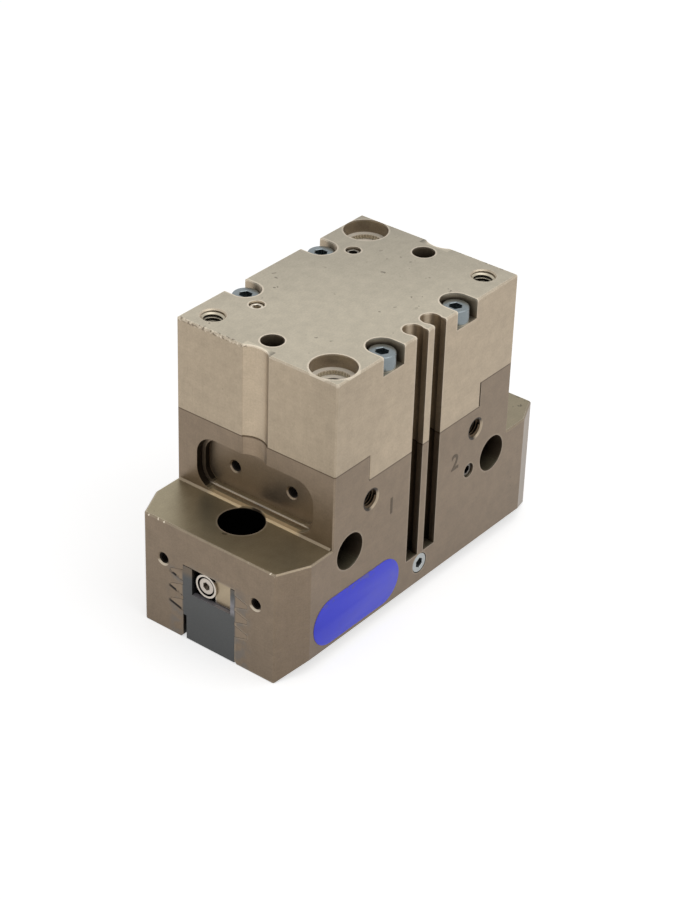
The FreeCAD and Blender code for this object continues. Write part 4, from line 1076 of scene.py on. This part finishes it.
class GRIPPER_OT_small_screws(bpy.types.Operator):
    """Models the grease screw, the cam screws, the plugs and the bottom plate's screws"""

    bl_idname = "gripper.small_screws"
    bl_label = "Small screws"

    def execute(self, context):
        spot, reach = face_of("grease_screw", PORT_WARD)
        screw = socket_head_screw(GREASE_SCREW, reach, GREASE_KNURLS)
        hand_over(copies_at(screw, [(spot, PORT_WARD)]), "grease_cap_screw", "housing",
                  "dull_zinc", "grease_screw")
        for name, side in ENDS:
            way = Vector((side, 0, 0))
            spot, reach = face_of(f"{name}_cam_screw", way)
            screw = socket_head_screw(CAM_SCREW, reach, CAM_KNURLS)
            hand_over(copies_at(screw, [(spot, way)]), f"{name}_cam_cap_screw", f"{name}_jaw",
                      "cam_zinc", f"{name}_cam_screw")
        spot, reach = face_of("flange_plugs", UP)
        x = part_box("flange_plugs")[1][0] - SET_SCREW.diameter * MM / 2
        hand_over(copies_at(set_screw(reach), [((i * x, spot.y, spot.z), UP) for i in BOTH]),
                  "flange_set_screws", "housing", "plug_finish", "flange_plugs")
        spot, reach = face_of("duct_plug", PORT_WARD)
        hand_over(copies_at(set_screw(reach), [(spot, PORT_WARD)]), "duct_set_screw", "housing",
                  "duct_zinc", "duct_plug")
        screw = countersunk_screw(PLATE_SCREW, face_of("bottom_cover_screws", DOWN)[1])
        hand_over(copies_at(screw, corner_spots("bottom_cover_screws", PLATE_SCREW, DOWN)), "plate_screws",
                  "housing", "clear_zinc", "bottom_cover_screws")
        return {"FINISHED"}


class GRIPPER_OT_sleeve_ribs(bpy.types.Operator):
    """Models the ribbed steps below the two sleeve seats"""

    bl_idname = "gripper.sleeve_ribs"
    bl_label = "Sleeve ribs"

    def execute(self, context):
        x, y, z = HOLE_X * MM, HOLE_Y * MM, (FLANGE - RIB_START) * MM
        placed = copies_at(ribbed_ring(), [((i * x, i * y, z), UP) for i in BOTH])
        hand_over(placed, "sleeve_ribs", "housing", "rib_finish")
        return {"FINISHED"}


class GRIPPER_OT_threads(bpy.types.Operator):
    """Models the threads in the flange, port, bracket, end and finger holes"""

    bl_idname = "gripper.threads"
    bl_label = "Threads"

    def execute(self, context):
        self.cut("flange_threads", "housing", "cover_anodised", "cover_thread", FLANGE_THREAD,
                 [((i * HOLE_X, -i * HOLE_Y, FLANGE - THREAD_START), UP) for i in BOTH])
        self.cut("seat_threads", "housing", "cover_anodised", "cover_thread", SEAT_THREAD,
                 [((i * HOLE_X, i * HOLE_Y, FLANGE - SEAT_THREAD_START), UP) for i in BOTH])
        self.cut("port_threads", "housing", "housing_anodised", "housing_thread", PORT_THREAD,
                 [((i * PORT_X, THREAD_START - SIDE, PORT_Z), PORT_WARD) for i in BOTH])
        self.cut("bracket_threads", "housing", "housing_anodised", "small_thread", BRACKET_THREAD,
                 [((i * BRACKET_X, j * BRACKET_Y, BRACKET_Z), (i, 0, 0)) for i, j in CORNERS])
        self.cut("end_threads", "housing", "housing_anodised", "small_thread", END_THREAD,
                 [((i * (END - THREAD_START), j * END_HOLE_Y, END_HOLE_Z), (i, 0, 0)) for i, j in CORNERS])
        for name, i in ENDS:
            self.cut(f"{name}_finger_threads", f"{name}_jaw", "jaw_steel", "jaw_thread", FINGER_THREAD,
                     [((i * x, 0, FINGER_Z), DOWN) for x in FINGER_X])
        return {"FINISHED"}

    def cut(self, name, body, slot, finish, sizes, spots):
        places = [(Vector(place) * MM, way) for place, way in spots]
        hand_over(copies_at(thread_ridge(sizes), places), name, body, finish)


class GRIPPER_OT_side_label(bpy.types.Operator):
    """Models the bare blue label low on the port side"""

    bl_idname = "gripper.side_label"
    bl_label = "Side label"

    def execute(self, context):
        details = context.scene.gripper_details
        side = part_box("lower_housing")[0][1]
        x, z = details.label_place
        clear_selection()
        bpy.ops.mesh.primitive_cube_add(size=1, location=(x, side, z))
        label = started((details.label_length, details.label_film, details.label_height))
        break_edges(label, 0.4999 * details.label_height, 20,
                    lambda edge: abs(edge.verts[0].co.y - edge.verts[1].co.y) > LEVEL)
        break_edges(label, 0.35 * details.label_film, 3,
                    lambda edge: max(vert.co.y for vert in edge.verts) < side)
        close_mesh()
        tidy_normals(label)
        hand_over(label, "side_label", "housing", "label_finish")
        return {"FINISHED"}


class GRIPPER_OT_port_marks(bpy.types.Operator):
    """Writes the plain numerals 1 and 2 beside the air ports"""

    bl_idname = "gripper.port_marks"
    bl_label = "Port marks"

    def execute(self, context):
        details = context.scene.gripper_details
        for numeral, x, z in PORT_MARKS:
            clear_selection()
            bpy.ops.object.text_add(location=Vector((x, -SIDE, z)) * MM, rotation=QUARTER_TURN)
            text = bpy.context.object.data
            text.body = numeral
            text.align_x = text.align_y = "CENTER"
            text.size = MARK_SCALE * details.mark_height
            text.extrude = details.mark_depth
            text.offset = details.mark_weight
            bpy.ops.object.convert(target="MESH")
            mark = bpy.context.object
            settle_shape(mark)
            tidy_normals(mark)
            hand_over(mark, f"port_mark_{numeral}", "housing", "mark_finish")
        return {"FINISHED"}


class GRIPPER_OT_stage(bpy.types.Operator):
    """Sets up the pale floor, the white room, the soft boxes and the camera"""

    bl_idname = "gripper.stage"
    bl_label = "Stage"

    def execute(self, context):
        context.scene.view_settings.view_transform = "Standard"
        settings = context.scene.gripper_stage
        self.floor(settings)
        self.room(context, settings)
        self.soft_box("key_lamp", KEY_PLACE, KEY_SIZE, settings.key_power)
        self.soft_box("side_lamp", SIDE_PLACE, SIDE_SIZE, settings.side_power)
        self.camera(context, settings)
        return {"FINISHED"}

    def floor(self, settings):
        clear_selection()
        bpy.ops.mesh.primitive_plane_add(size=FLOOR_SIZE, location=(0, 0, CAD_BOX[0][2] - FLOOR_GAP))
        floor = bpy.context.object
        floor.name = "floor"
        material = bpy.data.materials.new("pale_floor")
        made = Nodes(material)
        made.fill(made.tree.nodes["Principled BSDF"], {
            "Base Color": settings.floor, "Roughness": 0.9, "Specular IOR Level": 0.0,
            "Emission Color": (1, 1, 1), "Emission Strength": made.product(made.seen_directly(), FLOOR_GLOW)})
        floor.data.materials.append(material)

    def room(self, context, settings):
        context.scene.world = bpy.data.worlds.new("white_room")
        made = Nodes(context.scene.world)
        strength = made.span(made.seen_directly(), 0, 1, settings.room_light, 1)
        made.fill(made.tree.nodes["Background"], {"Color": (1, 1, 1), "Strength": strength})

    def soft_box(self, name, place, size, energy):
        clear_selection()
        bpy.ops.object.light_add(type="AREA", location=place)
        lamp = bpy.context.object
        lamp.name = lamp.data.name = name
        lamp.rotation_euler = (Vector(place) - LAMP_TARGET).to_track_quat("Z", "Y").to_euler()
        lamp.data.size = size
        lamp.data.energy = energy

    def camera(self, context, settings):
        clear_selection()
        bpy.ops.object.camera_add()
        camera = bpy.context.object
        placed = Matrix.Translation(settings.target)
        for turn, axis in ((settings.azimuth, "Z"), (math.pi / 2 - settings.elevation, "X"),
                           (settings.roll, "Z")):
            placed = placed @ Matrix.Rotation(turn, 4, axis)
        camera.matrix_world = placed @ Matrix.Translation((0, 0, settings.distance))
        camera.data.sensor_fit = "AUTO"
        camera.data.sensor_width = SENSOR_WIDTH
        camera.data.lens = settings.lens
        camera.data.clip_start = CLIP_START
        context.scene.camera = camera


OPERATORS = (GRIPPER_OT_anodised_bodies, GRIPPER_OT_jaws, GRIPPER_OT_inner_parts,
             GRIPPER_OT_closing_springs, GRIPPER_OT_cover_screws, GRIPPER_OT_small_screws,
             GRIPPER_OT_sleeve_ribs, GRIPPER_OT_threads, GRIPPER_OT_side_label, GRIPPER_OT_port_marks,
             GRIPPER_OT_stage)


class GRIPPER_PT_dress(bpy.types.Panel):
    """Lists the steps that dress the gripper"""

    bl_idname = "GRIPPER_PT_dress"
    bl_label = "Parallel gripper"
    bl_space_type = "VIEW_3D"
    bl_region_type = "UI"
    bl_category = "Gripper"

    def draw(self, context):
        for operator in OPERATORS:
            self.layout.operator(operator.bl_idname)
        for group in GROUPS:
            settings = getattr(context.scene, group)
            self.layout.label(text=group.replace("_", " "))
            for name in settings.bl_rna.properties.keys():
                if name not in ("rna_type", "name"):
                    self.layout.prop(settings, name)


GROUPS = {"gripper_finishes": GripperFinishes, "gripper_details": GripperDetails,
          "gripper_stage": GripperStage}
CLASSES = (*GROUPS.values(), *OPERATORS, GRIPPER_PT_dress)


def register():
    for made in CLASSES:
        bpy.utils.register_class(made)
    for name, group in GROUPS.items():
        setattr(bpy.types.Scene, name, PointerProperty(type=group))


def unregister():
    for name in GROUPS:
        delattr(bpy.types.Scene, name)
    for made in reversed(CLASSES):
        bpy.utils.unregister_class(made)


def main():
    register()
    for operator in OPERATORS:
        group, name = operator.bl_idname.split(".")
        getattr(getattr(bpy.ops, group), name)()


if __name__ == "__main__":
    main()
